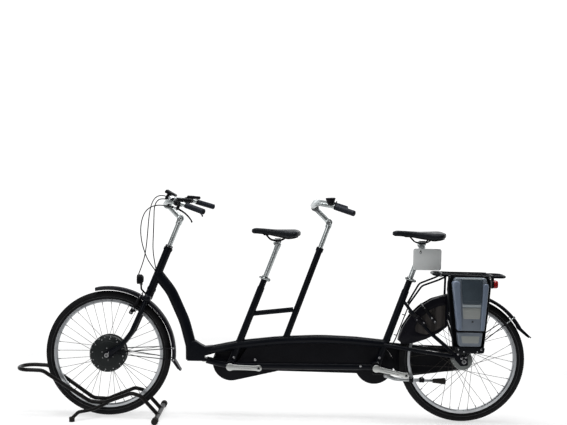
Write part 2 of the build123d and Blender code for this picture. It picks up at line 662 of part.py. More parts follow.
kick_leg = whole(
    rod((KICK[0], KICK[1] - 6, KICK[2]), (KICK[0], KICK[1] + 12, KICK[2]), 13),
    tube([(398, 56, 246), (352, 57, 228), (200, 60, 224)], 9.0, [60]),
    rod((279, 58.4, 225.7), (257, 58.8, 225.3), 12.5),
    rod((227, 59.4, 224.8), (201, 60, 224), 12.5),
    rod((201, 60, 224), (136, 61.3, 223), 7.0))
kick_leg = kick_leg - rod((KICK[0], 40, KICK[2]), (KICK[0], 60.5, KICK[2]), 5.1)
kick_leg = kick_leg - rod((KICK[0], 30, KICK[2]), (KICK[0], 45.6, KICK[2]), 16)
node("kickstand_leg", kick_leg)
kick_foot = rod((158, 60.8, 223.4), (92, 62.2, 222.4), 11.0, 17.0)
kick_foot = carve(kick_foot, kick_leg)
node("kickstand_foot", kick_foot)


# ================================================================== CRANKS
def crank(bb, length, deg):
    a = radians(deg)
    # direction of the left arm at rest: towards the back, tipped by deg
    dx, dz = -cos(a), sin(a)
    items = []
    shaft = whole(disc(bb[0], bb[1], SPINDLE_R, -ARM_IN, ARM_IN), disc(bb[0], bb[1], 12.0, 66.0, ARM_IN),
                  disc(bb[0], bb[1], 12.0, -72.0, -ARM_IN))
    for s in (1, -1):
        ex, ez = bb[0] + s * dx * length, bb[1] + s * dz * length
        arm = hull_case([(bb[0], bb[1], 20.0), (ex, ez, 16.5)], s * ARM_IN, s * ARM_OUT)
        arm = arm - disc(ex, ez, PEDAL_R, s * (ARM_IN - 5), s * (ARM_OUT + 5))
        items.append(arm)
    return items, shaft


cr_r, sp_r = crank(REAR_BB, CRANK_REAR, CRANK_REAR_DEG)
cr_f, sp_f = crank(FRONT_BB, CRANK_FRONT, CRANK_FRONT_DEG)
node("rear_crankset", *cr_r)
node("front_crankset", *cr_f)
node("rear_spindle", sp_r)
node("front_spindle", sp_f)

# ================================================================== STEERING
axle_f = disc(WHEEL_BASE, AXLE_Z, 6.0, -76, 76)
nut_f = [disc(WHEEL_BASE, AXLE_Z, 11.5, s * (FORK_HALF + 3.0), s * (FORK_HALF + 13)) for s in (1, -1)]
front_axle = node("front_axle", whole(axle_f, *nut_f))


def blade(s):
    b = tube([(steer_x(606), s * 40, 606), (1671, s * 50, 548), (1716, s * 56, 444),
              (1770, s * 59, 372), (WHEEL_BASE - 12, s * 59, 334)], 12.5, [120, 110, 90])
    tip = outline([(WHEEL_BASE + 20, AXLE_Z - 6, 8), (WHEEL_BASE + 14, AXLE_Z + 16, 8),
                   (WHEEL_BASE - 40, AXLE_Z + 44, 8), (WHEEL_BASE - 56, AXLE_Z + 22, 8),
                   (WHEEL_BASE - 16, AXLE_Z - 18, 8)], s * (FORK_HALF - 3), s * (FORK_HALF + 3))
    return whole(b, tip)


crown_a = on_steer(652)
crown = whole(rod(on_steer(656.5), on_steer(618), 22.0),
              rod((steer_x(622), -44, 622), (steer_x(622), 44, 622), 19.0),
              ball((steer_x(622), 44, 622), 19.0), ball((steer_x(622), -44, 622), 19.0))
steerer = rod(on_steer(640), on_steer(HEAD_Z1 + 18), STEERER_R)
lock_nut = rod(on_steer(HEAD_Z1 + 9.6), on_steer(HEAD_Z1 + 22), 20.0)
fork = whole(crown, steerer, lock_nut, blade(1), blade(-1))
fork = fork - [whole(axle_f, *nut_f)]
# the tyre and the mudguard pass under the crown
fork = fork - ring(WHEEL_BASE, AXLE_Z, [(240, -33), (MUD_R + 2.0, -33), (MUD_R + 2.0, 33), (240, 33)])
fork = Part(Compound([max(solids_of(fork), key=lambda s: s.volume)]).wrapped)
fork_p = node("fork", fork)

mg_f = mudguard(WHEEL_BASE, -96.0, 12.0, MUD_HALF)
fl_f = flap(WHEEL_BASE, -95.0, 50, 24, 36, 4.0)
wires_f = []
for s in (1, -1):
    for deg in (-84.0, -94.5):
        wires_f.append(rod((WHEEL_BASE - 12, s * (FORK_HALF + 5.6), AXLE_Z + 12),
                           around(WHEEL_BASE, MUD_R - 8, deg, s * (MUD_HALF + 1.0)), 2.4))
tab_f = rod(around(WHEEL_BASE, MUD_R - 2, -31.5), on_steer(618), 6.0)
guard_f = whole(mg_f, fl_f, *wires_f)
guard_f = carve(guard_f, fork, front_axle)
guard_f = Part(Compound([max(solids_of(guard_f), key=lambda s: s.volume)]).wrapped)
node("front_mudguard", guard_f)

hl = whole(round_box(1684, 0, 716, 42, 54, 50, 8),
           rod((1684, 0, 716), (1708, 0, 712), 21, 23),
           tube([(1676, 0, 700), (1676, 0, 664), (1652, 0, 640)], 5.0, [18]))
node("headlight", carve(hl, fork))

fb = brake_arms(WHEEL_BASE, -28.5, 0, y_out=36.0)
fb = [carve(b, fork, guard_f) for b in fb]
fb = [Part(Compound([max(solids_of(b), key=lambda s: s.volume)]).wrapped) for b in fb]
node("front_brake", *fb)

CAP = (1543.0, 0.0, 1108.0)
cap_pts = [(1548, 55, 1112), (1525, 165, 1130), (1445, 245, 1122), (1329, 308, 1086)]
cap_full = [(x, -y, z) for x, y, z in reversed(cap_pts)] + cap_pts
cap_bar = tube(cap_full, 11.1, [70, 90, 60, 60, 90, 70])
node("captain_handlebar", cap_bar)
cap_grips = [carve(g, cap_bar) for g in grips(cap_pts, 108, grip_r)]
node("captain_grips", *cap_grips)
stem_c = whole(rod(on_steer(HEAD_Z1 + 18), on_steer(1010), 12.7),
               rod(on_steer(1006), on_steer(1026), 16.0),
               rod((steer_x(1036), -19, 1036), (steer_x(1036), 19, 1036), 17.0),
               rod((steer_x(1036), 0, 1036), (1540, 0, 1102), 13.5),
               rod((1543, -22, 1106), (1543, 22, 1106), 19.0))
stem_c = carve(stem_c, cap_bar, fork)
stem_c = Part(Compound([max(solids_of(stem_c), key=lambda s: s.volume)]).wrapped)
node("captain_stem", stem_c)


def biggest(shape):
    return Part(Compound([max(solids_of(shape), key=lambda q: q.volume)]).wrapped)


def lever(s):
    """Brake lever with its clamp round the bar, just inside the grip."""
    a = along(cap_pts, 1, 0.86, s)
    b = along(cap_pts, 2, 0.04, s)
    clamp_ = rod(a, b, 15.0)
    perch = rod((a[0] + 2, a[1], a[2]), (1466, s * 232, 1098), 9.0)
    blade_ = tube([(1470, s * 230, 1101), (1428, s * 258, 1078), (1404, s * 276, 1060),
                   (1386, s * 286, 1033)], 4.6, [30, 14])
    stop = rod((1466, s * 232, 1099), (1500, s * 214, 1106), 6.0)
    return whole(clamp_, perch, blade_, stop)


lv = [biggest(carve(lever(s), cap_bar, *cap_grips)) for s in (1, -1)]
node("brake_levers", *lv)

# display over the stem, and the gear and motor switches inside the grips
disp = whole(Pos(1526.5, 0, 1163.3) * Rot(0, -29.5, 0) * Box(62, 68, 20),
             Pos(1541, 0, 1148) * Rot(0, -29.5, 0) * Box(22, 66, 34),
             rod((1543, 27, 1112), (1543, 43, 1112), 16.0),
             rod((1543, 32, 1124), (1538, 28, 1150), 7.0))
disp = biggest(carve(disp, cap_bar, stem_c))
node("display", disp)
sw = []
for s in (1, -1):
    a = along(cap_pts, 1, 0.62, s)
    b = along(cap_pts, 1, 0.84, s)
    c = along(cap_pts, 1, 0.74, s)
    sw.append(biggest(carve(whole(rod(a, b, 15.5), Pos(c[0] - 35, c[1] - 2, c[2] + 15) * Rot(0, -4, 0) * Box(74, 30, 17)), cap_bar, *lv)))
node("bar_switches", *sw)

# control cables and the headlight lead, in loops before the head tube
CABLE_R = 2.4
cable_a = [(1500, 209, 1106), (1548, 186, 1112), (1596, 152, 1106), (1638, 112, 1082),
           (1664, 78, 1036), (1675, 54, 978), (1671, 38, 916), (1656, 27, 858), (1634, 20, 806), (1602.6, 13.3, 765.4)]
cable_b = [(1500, -209, 1106), (1550, -190, 1134), (1592, -158, 1152), (1624, -120, 1142),
           (1640, -84, 1106), (1646, -56, 1056), (1648, -36, 1000), (1650, -22, 942),
           (1654, -14, 884), (1662, -8, 828), (1677, -4, 778), (1690, 0, 742)]
cable_c = [(1538, 30, 1134), (1570, 26, 1140), (1598, 17, 1126), (1612, 6, 1092), (1614, -4, 1046),
           (1616, -10, 994), (1618, -14, 940), (1620, -16, 886), (1616, -17, 834), (1602.2, -13.2, 767)]


def cord_tube(pts, r):
    """Tube along the route; each arc is nine twentieths of the shorter run beside it."""
    v = [Vector(*p) for p in pts]
    radii = []
    for i in range(1, len(v) - 1):
        a, b = v[i] - v[i - 1], v[i + 1] - v[i]
        turn = radians(a.get_angle(b))
        radii.append(0.45 * min(a.length, b.length) / tan(turn / 2))
    print("cable runs", round(sum((v[i + 1] - v[i]).length for i in range(len(v) - 1))),
          "least radius", round(min(radii)))
    path = FilletPolyline(*pts, radius=radii)
    sec = Plane(origin=path @ 0, z_dir=path % 0) * Circle(r)
    t = sweep(sec, path=path)
    print("cable length", round(path.length), "volume ratio", round(t.volume / (pi * r * r * path.length), 4))
    return t


hl_solid = Part(Compound(nodes["headlight"]).wrapped)
cables = [biggest(carve(cord_tube(cable_a, CABLE_R), *lv)), biggest(carve(cord_tube(cable_b, CABLE_R), *lv, hl_solid)),
          biggest(carve(cord_tube(cable_c, CABLE_R), disp))]
node("control_cables", *cables)

# ------------------------------------------------------------------ floor wheel stand
def stand_side(s):
    return tube([(2236, s * 66, 243), (2172, s * 64, 241), (1928, s * 42, 78), (1852, s * 42, 74),
                 (1712, s * 62, 130), (1664, s * 64, 118), (1573, s * 64, 20)], STAND_TUBE_R, [60, 60, 60, 40, 40])


nose = tube([(2236, 66, 243), (2306, 66, 243), (2306, -66, 243), (2236, -66, 243)], STAND_TUBE_R, [62, 62])
leg_f = [tube([(1842, s * 44, 72), (1905, s * 78, 46), (1972, s * 122, 42), (1998, s * 146, 17)], 9.0, [60, 22])
         for s in (1, -1)]
cross = rod((1573, -178, 17), (1573, 178, 17), 12.0)
stand = whole(stand_side(1), stand_side(-1), nose, cross, *leg_f)
feet = []
for s in (1, -1):
    feet.append(rod((1573, s * 160, 17), (1573, s * 192, 17), 17.0))
    feet.append(Pos(1999, s * 147, 11) * Cylinder(14.0, 22))
feet_c = [carve(f, stand) for f in feet]
stand = carve(stand, Pos(1900, 0, -50) * Box(1000, 600, 100))
node("wheel_stand", stand)
feet_c = [Part(Compound([max(solids_of(f), key=lambda q: q.volume)]).wrapped) for f in feet_c]
node("stand_feet", *feet_c)

# ------------------------------------------------------------------ write
shift = Pos(-X_MID, 0, 0)
lo = [1e9] * 3
hi = [-1e9] * 3
for name, items in nodes.items():
    comp = Compound([shift * s for s in items])
    b = comp.bounding_box()
    for k, (u, w) in enumerate(((b.min.X, b.max.X), (b.min.Y, b.max.Y), (b.min.Z, b.max.Z))):
        lo[k] = min(lo[k], u)
        hi[k] = max(hi[k], w)
    export_step(comp, os.path.join(out, name + ".step"))
print("nodes", len(nodes))
print("box", [round(v, 1) for v in lo], [round(v, 1) for v in hi])
print("steering point", round(STEER_MID[0] - X_MID, 2), STEER_MID[1])
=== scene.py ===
import math
import random
import bpy
import bmesh
import numpy as np
from mathutils import Matrix, Vector


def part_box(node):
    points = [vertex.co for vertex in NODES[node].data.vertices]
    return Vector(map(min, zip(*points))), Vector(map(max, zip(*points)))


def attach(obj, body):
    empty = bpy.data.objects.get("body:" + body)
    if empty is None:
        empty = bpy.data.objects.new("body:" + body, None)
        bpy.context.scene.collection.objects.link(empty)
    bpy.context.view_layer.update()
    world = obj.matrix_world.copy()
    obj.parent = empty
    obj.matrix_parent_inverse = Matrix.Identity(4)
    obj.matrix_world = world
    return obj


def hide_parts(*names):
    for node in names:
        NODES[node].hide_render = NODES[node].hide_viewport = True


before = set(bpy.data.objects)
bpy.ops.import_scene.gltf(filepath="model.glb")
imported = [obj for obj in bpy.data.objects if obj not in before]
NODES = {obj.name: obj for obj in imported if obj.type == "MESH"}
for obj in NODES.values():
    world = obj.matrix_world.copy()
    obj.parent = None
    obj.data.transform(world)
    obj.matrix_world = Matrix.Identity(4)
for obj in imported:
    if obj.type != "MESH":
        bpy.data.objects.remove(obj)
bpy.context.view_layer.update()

X_MID = 979.75          # rear axle to the middle of the length, mm
WB = 1841.0             # wheelbase
AX = 326.5              # axle height
TAU = 2 * math.pi


def P(x, y, z):
    """Millimetres measured from the rear axle's foot point, to metres in the row frame."""
    return Vector(((x - X_MID) / 1000.0, y / 1000.0, z / 1000.0))


# ------------------------------------------------------------------ camera
def camera():
    yaw, pitch, roll = 0.00439, 0.04567, 0.01726
    f = 937.709
    fwd = Vector((math.sin(yaw) * math.cos(pitch), -math.cos(yaw) * math.cos(pitch), -math.sin(pitch)))
    right = Vector((-math.cos(yaw), -math.sin(yaw), 0))
    up = right.cross(fwd)
    c, s = math.cos(roll), math.sin(roll)
    r, u = c * right + s * up, -s * right + c * up
    m = Matrix(((r.x, u.x, -fwd.x), (r.y, u.y, -fwd.y), (r.z, u.z, -fwd.z))).to_4x4()
    m.translation = P(920.204, 4858.881, 1298.094)
    data = bpy.data.cameras.new("camera")
    data.sensor_fit = "HORIZONTAL"
    data.sensor_width = 36.0
    data.lens = f * 36.0 / 567.0
    cam = bpy.data.objects.new("camera", data)
    cam.matrix_world = m
    bpy.context.scene.collection.objects.link(cam)
    bpy.context.scene.camera = cam


camera()


# ------------------------------------------------------------------ materials
class Nodes:
    def __init__(self, name):
        self.mat = bpy.data.materials.new(name)
        self.mat.use_nodes = True
        self.t = self.mat.node_tree
        self.t.nodes.clear()
        self.out = self.t.nodes.new("ShaderNodeOutputMaterial")
        self.bsdf = self.t.nodes.new("ShaderNodeBsdfPrincipled")
        self.t.links.new(self.bsdf.outputs[0], self.out.inputs[0])
        self.tc = self.t.nodes.new("ShaderNodeTexCoord")
        self.co = self.tc.outputs["Object"]

    def link(self, a, b):
        self.t.links.new(a, b)

    def new(self, kind, **vals):
        n = self.t.nodes.new(kind)
        for k, v in vals.items():
            if k in n.inputs:
                n.inputs[k].default_value = v
            else:
                setattr(n, k, v)
        return n

    def mapped(self, scale=(1, 1, 1), loc=(0, 0, 0), rot=(0, 0, 0)):
        m = self.new("ShaderNodeMapping")
        m.inputs["Scale"].default_value = scale
        m.inputs["Location"].default_value = loc
        m.inputs["Rotation"].default_value = rot
        self.link(self.co, m.inputs["Vector"])
        return m.outputs[0]

    def noise(self, scale, detail=3.0, rough=0.5, co=None):
        n = self.new("ShaderNodeTexNoise", Scale=scale, Detail=detail, Roughness=rough)
        self.link(co or self.co, n.inputs["Vector"])
        return n.outputs["Fac"]

    def voronoi(self, scale, feature="F1", co=None):
        n = self.new("ShaderNodeTexVoronoi", Scale=scale)
        n.feature = feature
        self.link(co or self.co, n.inputs["Vector"])
        return n.outputs["Distance"]

    def ramp(self, fac, stops):
        n = self.new("ShaderNodeValToRGB")
        el = n.color_ramp.elements
        while len(el) < len(stops):
            el.new(0.5)
        for e, (p, c) in zip(el, stops):
            e.position = p
            e.color = (*c, 1.0) if len(c) == 3 else c
        self.link(fac, n.inputs[0])
        return n.outputs[0]

    def remap(self, fac, lo, hi, a=0.3, b=0.7):
        n = self.new("ShaderNodeMapRange")
        n.inputs["From Min"].default_value = a
        n.inputs["From Max"].default_value = b
        n.inputs["To Min"].default_value = lo
        n.inputs["To Max"].default_value = hi
        self.link(fac, n.inputs["Value"])
        return n.outputs[0]

    def math(self, op, a, b=None):
        n = self.new("ShaderNodeMath")
        n.operation = op
        for i, q in enumerate((a, b)):
            if q is None:
                continue
            if isinstance(q, (int, float)):
                n.inputs[i].default_value = q
            else:
                self.link(q, n.inputs[i])
        return n.outputs[0]

    def mix(self, fac, a, b):
        n = self.new("ShaderNodeMix")
        n.data_type = "RGBA"
        for i, q in ((0, fac), (6, a), (7, b)):
            if isinstance(q, (int, float)):
                n.inputs[i].default_value = q
            elif isinstance(q, tuple):
                n.inputs[i].default_value = (*q, 1.0) if len(q) == 3 else q
            else:
                self.link(q, n.inputs[i])
        return n.outputs[2]

    def bump(self, height, strength, distance, normal=None):
        n = self.new("ShaderNodeBump", Strength=strength, Distance=distance)
        self.link(height, n.inputs["Height"])
        if normal is not None:
            self.link(normal, n.inputs["Normal"])
        return n.outputs[0]

    def color(self, c):
        self.link(c, self.bsdf.inputs["Base Color"]) if not isinstance(c, tuple) else \
            setattr(self.bsdf.inputs["Base Color"], "default_value", (*c, 1.0))

    def rough(self, r):
        self.link(r, self.bsdf.inputs["Roughness"]) if not isinstance(r, float) else \
            setattr(self.bsdf.inputs["Roughness"], "default_value", r)

    def normal(self, n):
        self.link(n, self.bsdf.inputs["Normal"])

    def set(self, **vals):
        for k, v in vals.items():
            self.bsdf.inputs[k.replace("_", " ")].default_value = v


def paint(name, dark, light, rough=0.3, coat=0.35, peel=0.06):
    """Sprayed and lacquered metal: slight mottling, orange peel, fine dust."""
    n = Nodes(name)
    base = n.ramp(n.noise(5.0, 4.0), [(0.32, dark), (0.68, light)])
    dust = n.ramp(n.noise(420.0, 2.0, 0.6), [(0.70, (0, 0, 0)), (0.78, (1, 1, 1))])
    n.color(n.mix(n.math("MULTIPLY", dust, 0.05), base, (0.10, 0.10, 0.11)))
    n.rough(n.remap(n.noise(24.0, 4.0), rough - 0.05, rough + 0.09))
    n.normal(n.bump(n.noise(650.0, 2.0), peel, 0.0004))
    n.set(Coat_Weight=coat, Coat_Roughness=0.16, Specular_IOR_Level=0.10)
    return n.mat


def plastic(name, dark, light, rough=0.5, grain=0.12, scale=1700.0, coat=0.0, spec=0.10):
    """Moulded plastic with a fine spark-eroded grain."""
    n = Nodes(name)
    base = n.ramp(n.noise(9.0, 3.0), [(0.3, dark), (0.7, light)])
    scuff = n.ramp(n.noise(60.0, 6.0, 0.75, n.mapped((1, 1, 5))), [(0.62, (0, 0, 0)), (0.74, (1, 1, 1))])
    n.color(n.mix(n.math("MULTIPLY", scuff, 0.03), base, (0.22, 0.22, 0.23)))
    n.rough(n.remap(n.noise(35.0, 3.0), rough - 0.05, rough + 0.07))
    n.normal(n.bump(n.voronoi(scale), grain, 0.00025))
    n.set(Coat_Weight=coat, Coat_Roughness=0.2, Specular_IOR_Level=spec)
    return n.mat


def metal(name, dark, light, rough=0.3, brush=(1, 60, 60), strength=0.12, mark=0.06):
    """Bright metal: drawn or brushed streaks and a few handling marks."""
    n = Nodes(name)
    streak = n.noise(90.0, 5.0, 0.6, n.mapped(brush))
    n.color(n.ramp(n.noise(14.0, 4.0), [(0.3, dark), (0.7, light)]))
    marks = n.ramp(n.noise(45.0, 6.0, 0.8), [(0.60, (0, 0, 0)), (0.72, (1, 1, 1))])
    n.rough(n.math("ADD", n.remap(streak, rough - 0.05, rough + 0.08), n.math("MULTIPLY", marks, mark)))
    n.normal(n.bump(streak, strength, 0.0001))
    n.set(Metallic=1.0)
    return n.mat


def rubber(name, dark, light, rough=0.78, scale=900.0, bump=0.2):
    n = Nodes(name)
    base = n.ramp(n.noise(12.0, 5.0), [(0.3, dark), (0.72, light)])
    dust = n.ramp(n.noise(160.0, 5.0, 0.7), [(0.55, (0, 0, 0)), (0.8, (1, 1, 1))])
    n.color(n.mix(n.math("MULTIPLY", dust, 0.07), base, (0.10, 0.095, 0.09)))
    n.rough(n.remap(n.noise(50.0, 3.0), rough - 0.07, rough + 0.08))
    n.normal(n.bump(n.noise(scale, 3.0), bump, 0.0003))
    n.set(Specular_IOR_Level=0.12)
    return n.mat


def leather(name, dark, light, rough=0.46, cell=620.0):
    """Vinyl-faced leather grain: small pebbles with soft creases."""
    n = Nodes(name)
    base = n.ramp(n.noise(16.0, 4.0), [(0.3, dark), (0.7, light)])
    cells = n.voronoi(cell)
    crease = n.ramp(cells, [(0.0, (1, 1, 1)), (0.55, (0.25, 0.25, 0.25)), (0.8, (0, 0, 0))])
    n.color(n.mix(n.math("MULTIPLY", cells, 0.10), base, (0.05, 0.055, 0.07)))
    n.rough(n.remap(n.noise(40.0, 4.0), rough - 0.06, rough + 0.1))
    b1 = n.bump(crease, 0.35, 0.0004)
    n.normal(n.bump(n.noise(70.0, 3.0), 0.10, 0.0012, b1))
    n.set(Sheen_Weight=0.01, Sheen_Roughness=0.5, Specular_IOR_Level=0.14)
    return n.mat


def lens(name, col, rough=0.08, trans=0.35):
    n = Nodes(name)
    cell = n.voronoi(260.0, co=n.mapped((1, 1, 1)))
    n.color(n.ramp(cell, [(0.0, tuple(min(1.0, c * 1.25) for c in col)), (0.8, tuple(c * 0.7 for c in col))]))
    n.rough(n.remap(n.noise(30.0), rough, rough + 0.06))
    n.normal(n.bump(cell, 0.4, 0.0008))
    n.set(Transmission_Weight=trans, IOR=1.49)
    return n.mat


M = {}
M["frame"] = paint("frame_paint", (0.0016, 0.0022, 0.0042), (0.0030, 0.0038, 0.0066), 0.34, 0.0)
M["fork"] = paint("fork_paint", (0.0016, 0.0022, 0.0042), (0.0030, 0.0038, 0.0066), 0.34, 0.0)
M["stand"] = paint("stand_paint", (0.0040, 0.0036, 0.0036), (0.0080, 0.0070, 0.0068), 0.30, 0.04)
M["plastic"] = plastic("black_plastic", (0.0035, 0.0035, 0.0045), (0.0065, 0.0065, 0.0078), 0.46)
M["case"] = plastic("case_plastic", (0.0022, 0.0023, 0.0036), (0.0042, 0.0043, 0.0062), 0.36, 0.08, 1400.0)
M["guard"] = plastic("guard_plastic", (0.0035, 0.0034, 0.0055), (0.0065, 0.0062, 0.0095), 0.36, 0.06, 1300.0, 0.0)
M["holder"] = plastic("holder_plastic", (0.0028, 0.0034, 0.0048), (0.0055, 0.0062, 0.0080), 0.5)
M["alu"] = metal("satin_aluminium", (0.40, 0.43, 0.43), (0.54, 0.57, 0.57), 0.34)
M["crank"] = metal("crank_aluminium", (0.44, 0.45, 0.44), (0.58, 0.59, 0.57), 0.30, (1, 30, 30), 0.08)
M["rim"] = metal("rim_aluminium", (0.34, 0.35, 0.37), (0.46, 0.47, 0.49), 0.32, (1, 60, 1), 0.1)
M["kick"] = metal("kickstand_aluminium", (0.22, 0.23, 0.235), (0.36, 0.37, 0.375), 0.32, (1, 30, 30), 0.08)
M["steel"] = metal("bright_steel", (0.30, 0.30, 0.31), (0.44, 0.44, 0.45), 0.28, (30, 1, 30), 0.05)
M["spoke"] = metal("spoke_steel", (0.022, 0.020, 0.018), (0.050, 0.046, 0.042), 0.34, (20, 20, 20), 0.04)
M["hub"] = paint("hub_paint", (0.0085, 0.0105, 0.0110), (0.0150, 0.0175, 0.0180), 0.40, 0.08, 0.1)
M["hub_alu"] = metal("hub_aluminium", (0.095, 0.102, 0.100), (0.170, 0.180, 0.176), 0.36, (1, 40, 1))
M["tyre"] = rubber("tyre_rubber", (0.0040, 0.0040, 0.0046), (0.0085, 0.0085, 0.0092), 0.74)
M["line"] = plastic("reflective_line", (0.060, 0.062, 0.064), (0.100, 0.102, 0.105), 0.40, 0.2, 2500.0)
M["grip"] = rubber("grip_rubber", (0.010, 0.0125, 0.018), (0.020, 0.023, 0.031), 0.56, 2200.0, 0.35)
M["flap"] = rubber("flap_rubber", (0.0050, 0.0052, 0.0064), (0.0095, 0.0098, 0.0115), 0.60, 1200.0, 0.10)
M["foot"] = rubber("foot_rubber", (0.010, 0.009, 0.0085), (0.018, 0.016, 0.015), 0.72)
M["saddle"] = leather("saddle_cover", (0.0024, 0.0036, 0.0052), (0.0050, 0.0068, 0.0092), 0.42)
M["thread"] = plastic("seam_thread", (0.012, 0.013, 0.016), (0.022, 0.023, 0.028), 0.7, 0.5, 3000.0)
M["cable"] = rubber("cable_sheath", (0.0016, 0.0016, 0.0020), (0.0036, 0.0036, 0.0042), 0.50, 1500.0, 0.05)
M["battery"] = plastic("battery_shell", (0.130, 0.155, 0.185), (0.175, 0.200, 0.235), 0.38, 0.10, 1500.0, 0.1, spec=0.28)
M["battery_fin"] = plastic("battery_fins", (0.135, 0.170, 0.230), (0.190, 0.230, 0.300), 0.30, 0.08, 1500.0, 0.2, spec=0.28)
M["battery_dark"] = plastic("battery_panel", (0.036, 0.050, 0.064), (0.052, 0.070, 0.086), 0.34, 0.08, 1500.0, 0.1, spec=0.28)
M["battery_light"] = plastic("battery_trim", (0.27, 0.31, 0.33), (0.34, 0.38, 0.40), 0.36, 0.08, 1500.0, 0.1, spec=0.28)
M["battery_label"] = plastic("battery_label_field", (0.240, 0.255, 0.245), (0.300, 0.315, 0.305), 0.40, 0.08, 1500.0, 0.1, spec=0.28)
M["tag"] = plastic("tag_card", (0.66, 0.68, 0.675), (0.74, 0.76, 0.755), 0.50, 0.06, 900.0, spec=0.28)
M["red"] = lens("red_lens", (0.55, 0.012, 0.012))
M["clear"] = lens("clear_lens", (0.82, 0.84, 0.86), 0.04, 0.8)
M["mirror"] = metal("reflector_mirror", (0.62, 0.64, 0.66), (0.74, 0.76, 0.78), 0.14, (1, 1, 1), 0.02)
M["screen"] = plastic("screen_glass", (0.004, 0.006, 0.008), (0.009, 0.012, 0.016), 0.10, 0.0, 500.0, 0.5)


def coat_material():
    """Smoked plastic that lets a little of the wheel show."""
    n = Nodes("smoked_panel")
    streak = n.noise(14.0, 2.0, 0.4, n.mapped((3.2, 1, 0.25), (0, 0, 0), (0, 0.16, 0)))
    n.color(n.ramp(streak, [(0.32, (0.020, 0.018, 0.017)), (0.68, (0.070, 0.062, 0.058))]))
    n.rough(n.remap(n.noise(30.0), 0.28, 0.40))
    n.normal(n.bump(n.noise(240.0, 2.0), 0.08, 0.0004))
    n.set(Alpha=0.90, Specular_IOR_Level=0.20)
    return n.mat


M["coat"] = coat_material()


def rim_material(name, cx):
    """Machined rings on the rim's side walls, about the wheel's own axle."""
    n = Nodes(name)
    w = n.new("ShaderNodeTexWave", Scale=1300.0, Distortion=0.4, Detail=1.0)
    w.wave_type = "RINGS"
    w.rings_direction = "Y"
    n.link(n.mapped((1, 1, 1), (-(cx - X_MID) / 1000.0, 0, -AX / 1000.0)), w.inputs["Vector"])
    n.color(n.ramp(n.noise(8.0, 4.0), [(0.3, (0.40, 0.415, 0.43)), (0.7, (0.54, 0.555, 0.57))]))
    n.rough(n.remap(n.noise(60.0, 4.0), 0.28, 0.42))
    n.normal(n.bump(w.outputs["Fac"], 0.10, 0.0001))
    n.set(Metallic=1.0)
    return n.mat


RIMS = {"front": rim_material("front_rim_metal", WB), "rear": rim_material("rear_rim_metal", 0.0)}

CAD_LOOK = {
    "frame": ["head_tube", "down_tube", "upper_beam", "lower_beam", "bottom_brackets", "seat_tubes", "stoker_mast",
              "link_tube", "rear_stays", "carrier"],
    "fork": ["fork"], "stand": ["wheel_stand"], "foot": ["stand_feet"],
    "steel": ["rear_axle", "front_axle", "rear_spindle", "front_spindle"], "case": ["beam_panel", "chain_case", "drive_case"],
    "guard": ["rear_mudguard", "front_mudguard"], "plastic": ["ring_lock", "rear_brake", "front_brake",
              "headlight", "tail_light", "bell", "kickstand_bracket", "brake_levers", "display", "bar_switches",
              "kickstand_foot"],
    "coat": ["coat_guards"], "holder": ["battery_holder"], "battery": ["battery_pack"],
    "alu": ["seat_posts", "stoker_stem", "stoker_handlebar", "captain_stem", "captain_handlebar"],
    "kick": ["kickstand_leg"],
    "saddle": ["captain_saddle", "stoker_saddle"], "grip": ["captain_grips", "stoker_grips"],
    "crank": ["rear_crankset", "front_crankset"], "tyre": ["front_tyre", "rear_tyre"],
    "spoke": ["front_spokes", "rear_spokes"], "hub": ["hub_motor"], "hub_alu": ["rear_hub"],
    "cable": ["control_cables"], "tag": ["blank_tag"],
}
for look, names in CAD_LOOK.items():
    for nm in names:
        if nm in NODES:
            d = NODES[nm].data
            d.materials.clear()
            d.materials.append(M[look])
for nm, key in (("front_rim", "front"), ("rear_rim", "rear")):
    NODES[nm].data.materials.clear()
    NODES[nm].data.materials.append(RIMS[key])


# ------------------------------------------------------------------ mesh helpers (all in mm, design frame)
def unit(v):
    v = np.asarray(v, float)
    return v / np.linalg.norm(v)


def side_of(axis, ref=None):
    axis = unit(axis)
    ref = np.array(ref if ref is not None else ((0, 0, 1) if abs(axis[2]) < 0.9 else (1, 0, 0)), float)
    u = unit(ref - axis * ref.dot(axis))
    return u, np.cross(axis, u)


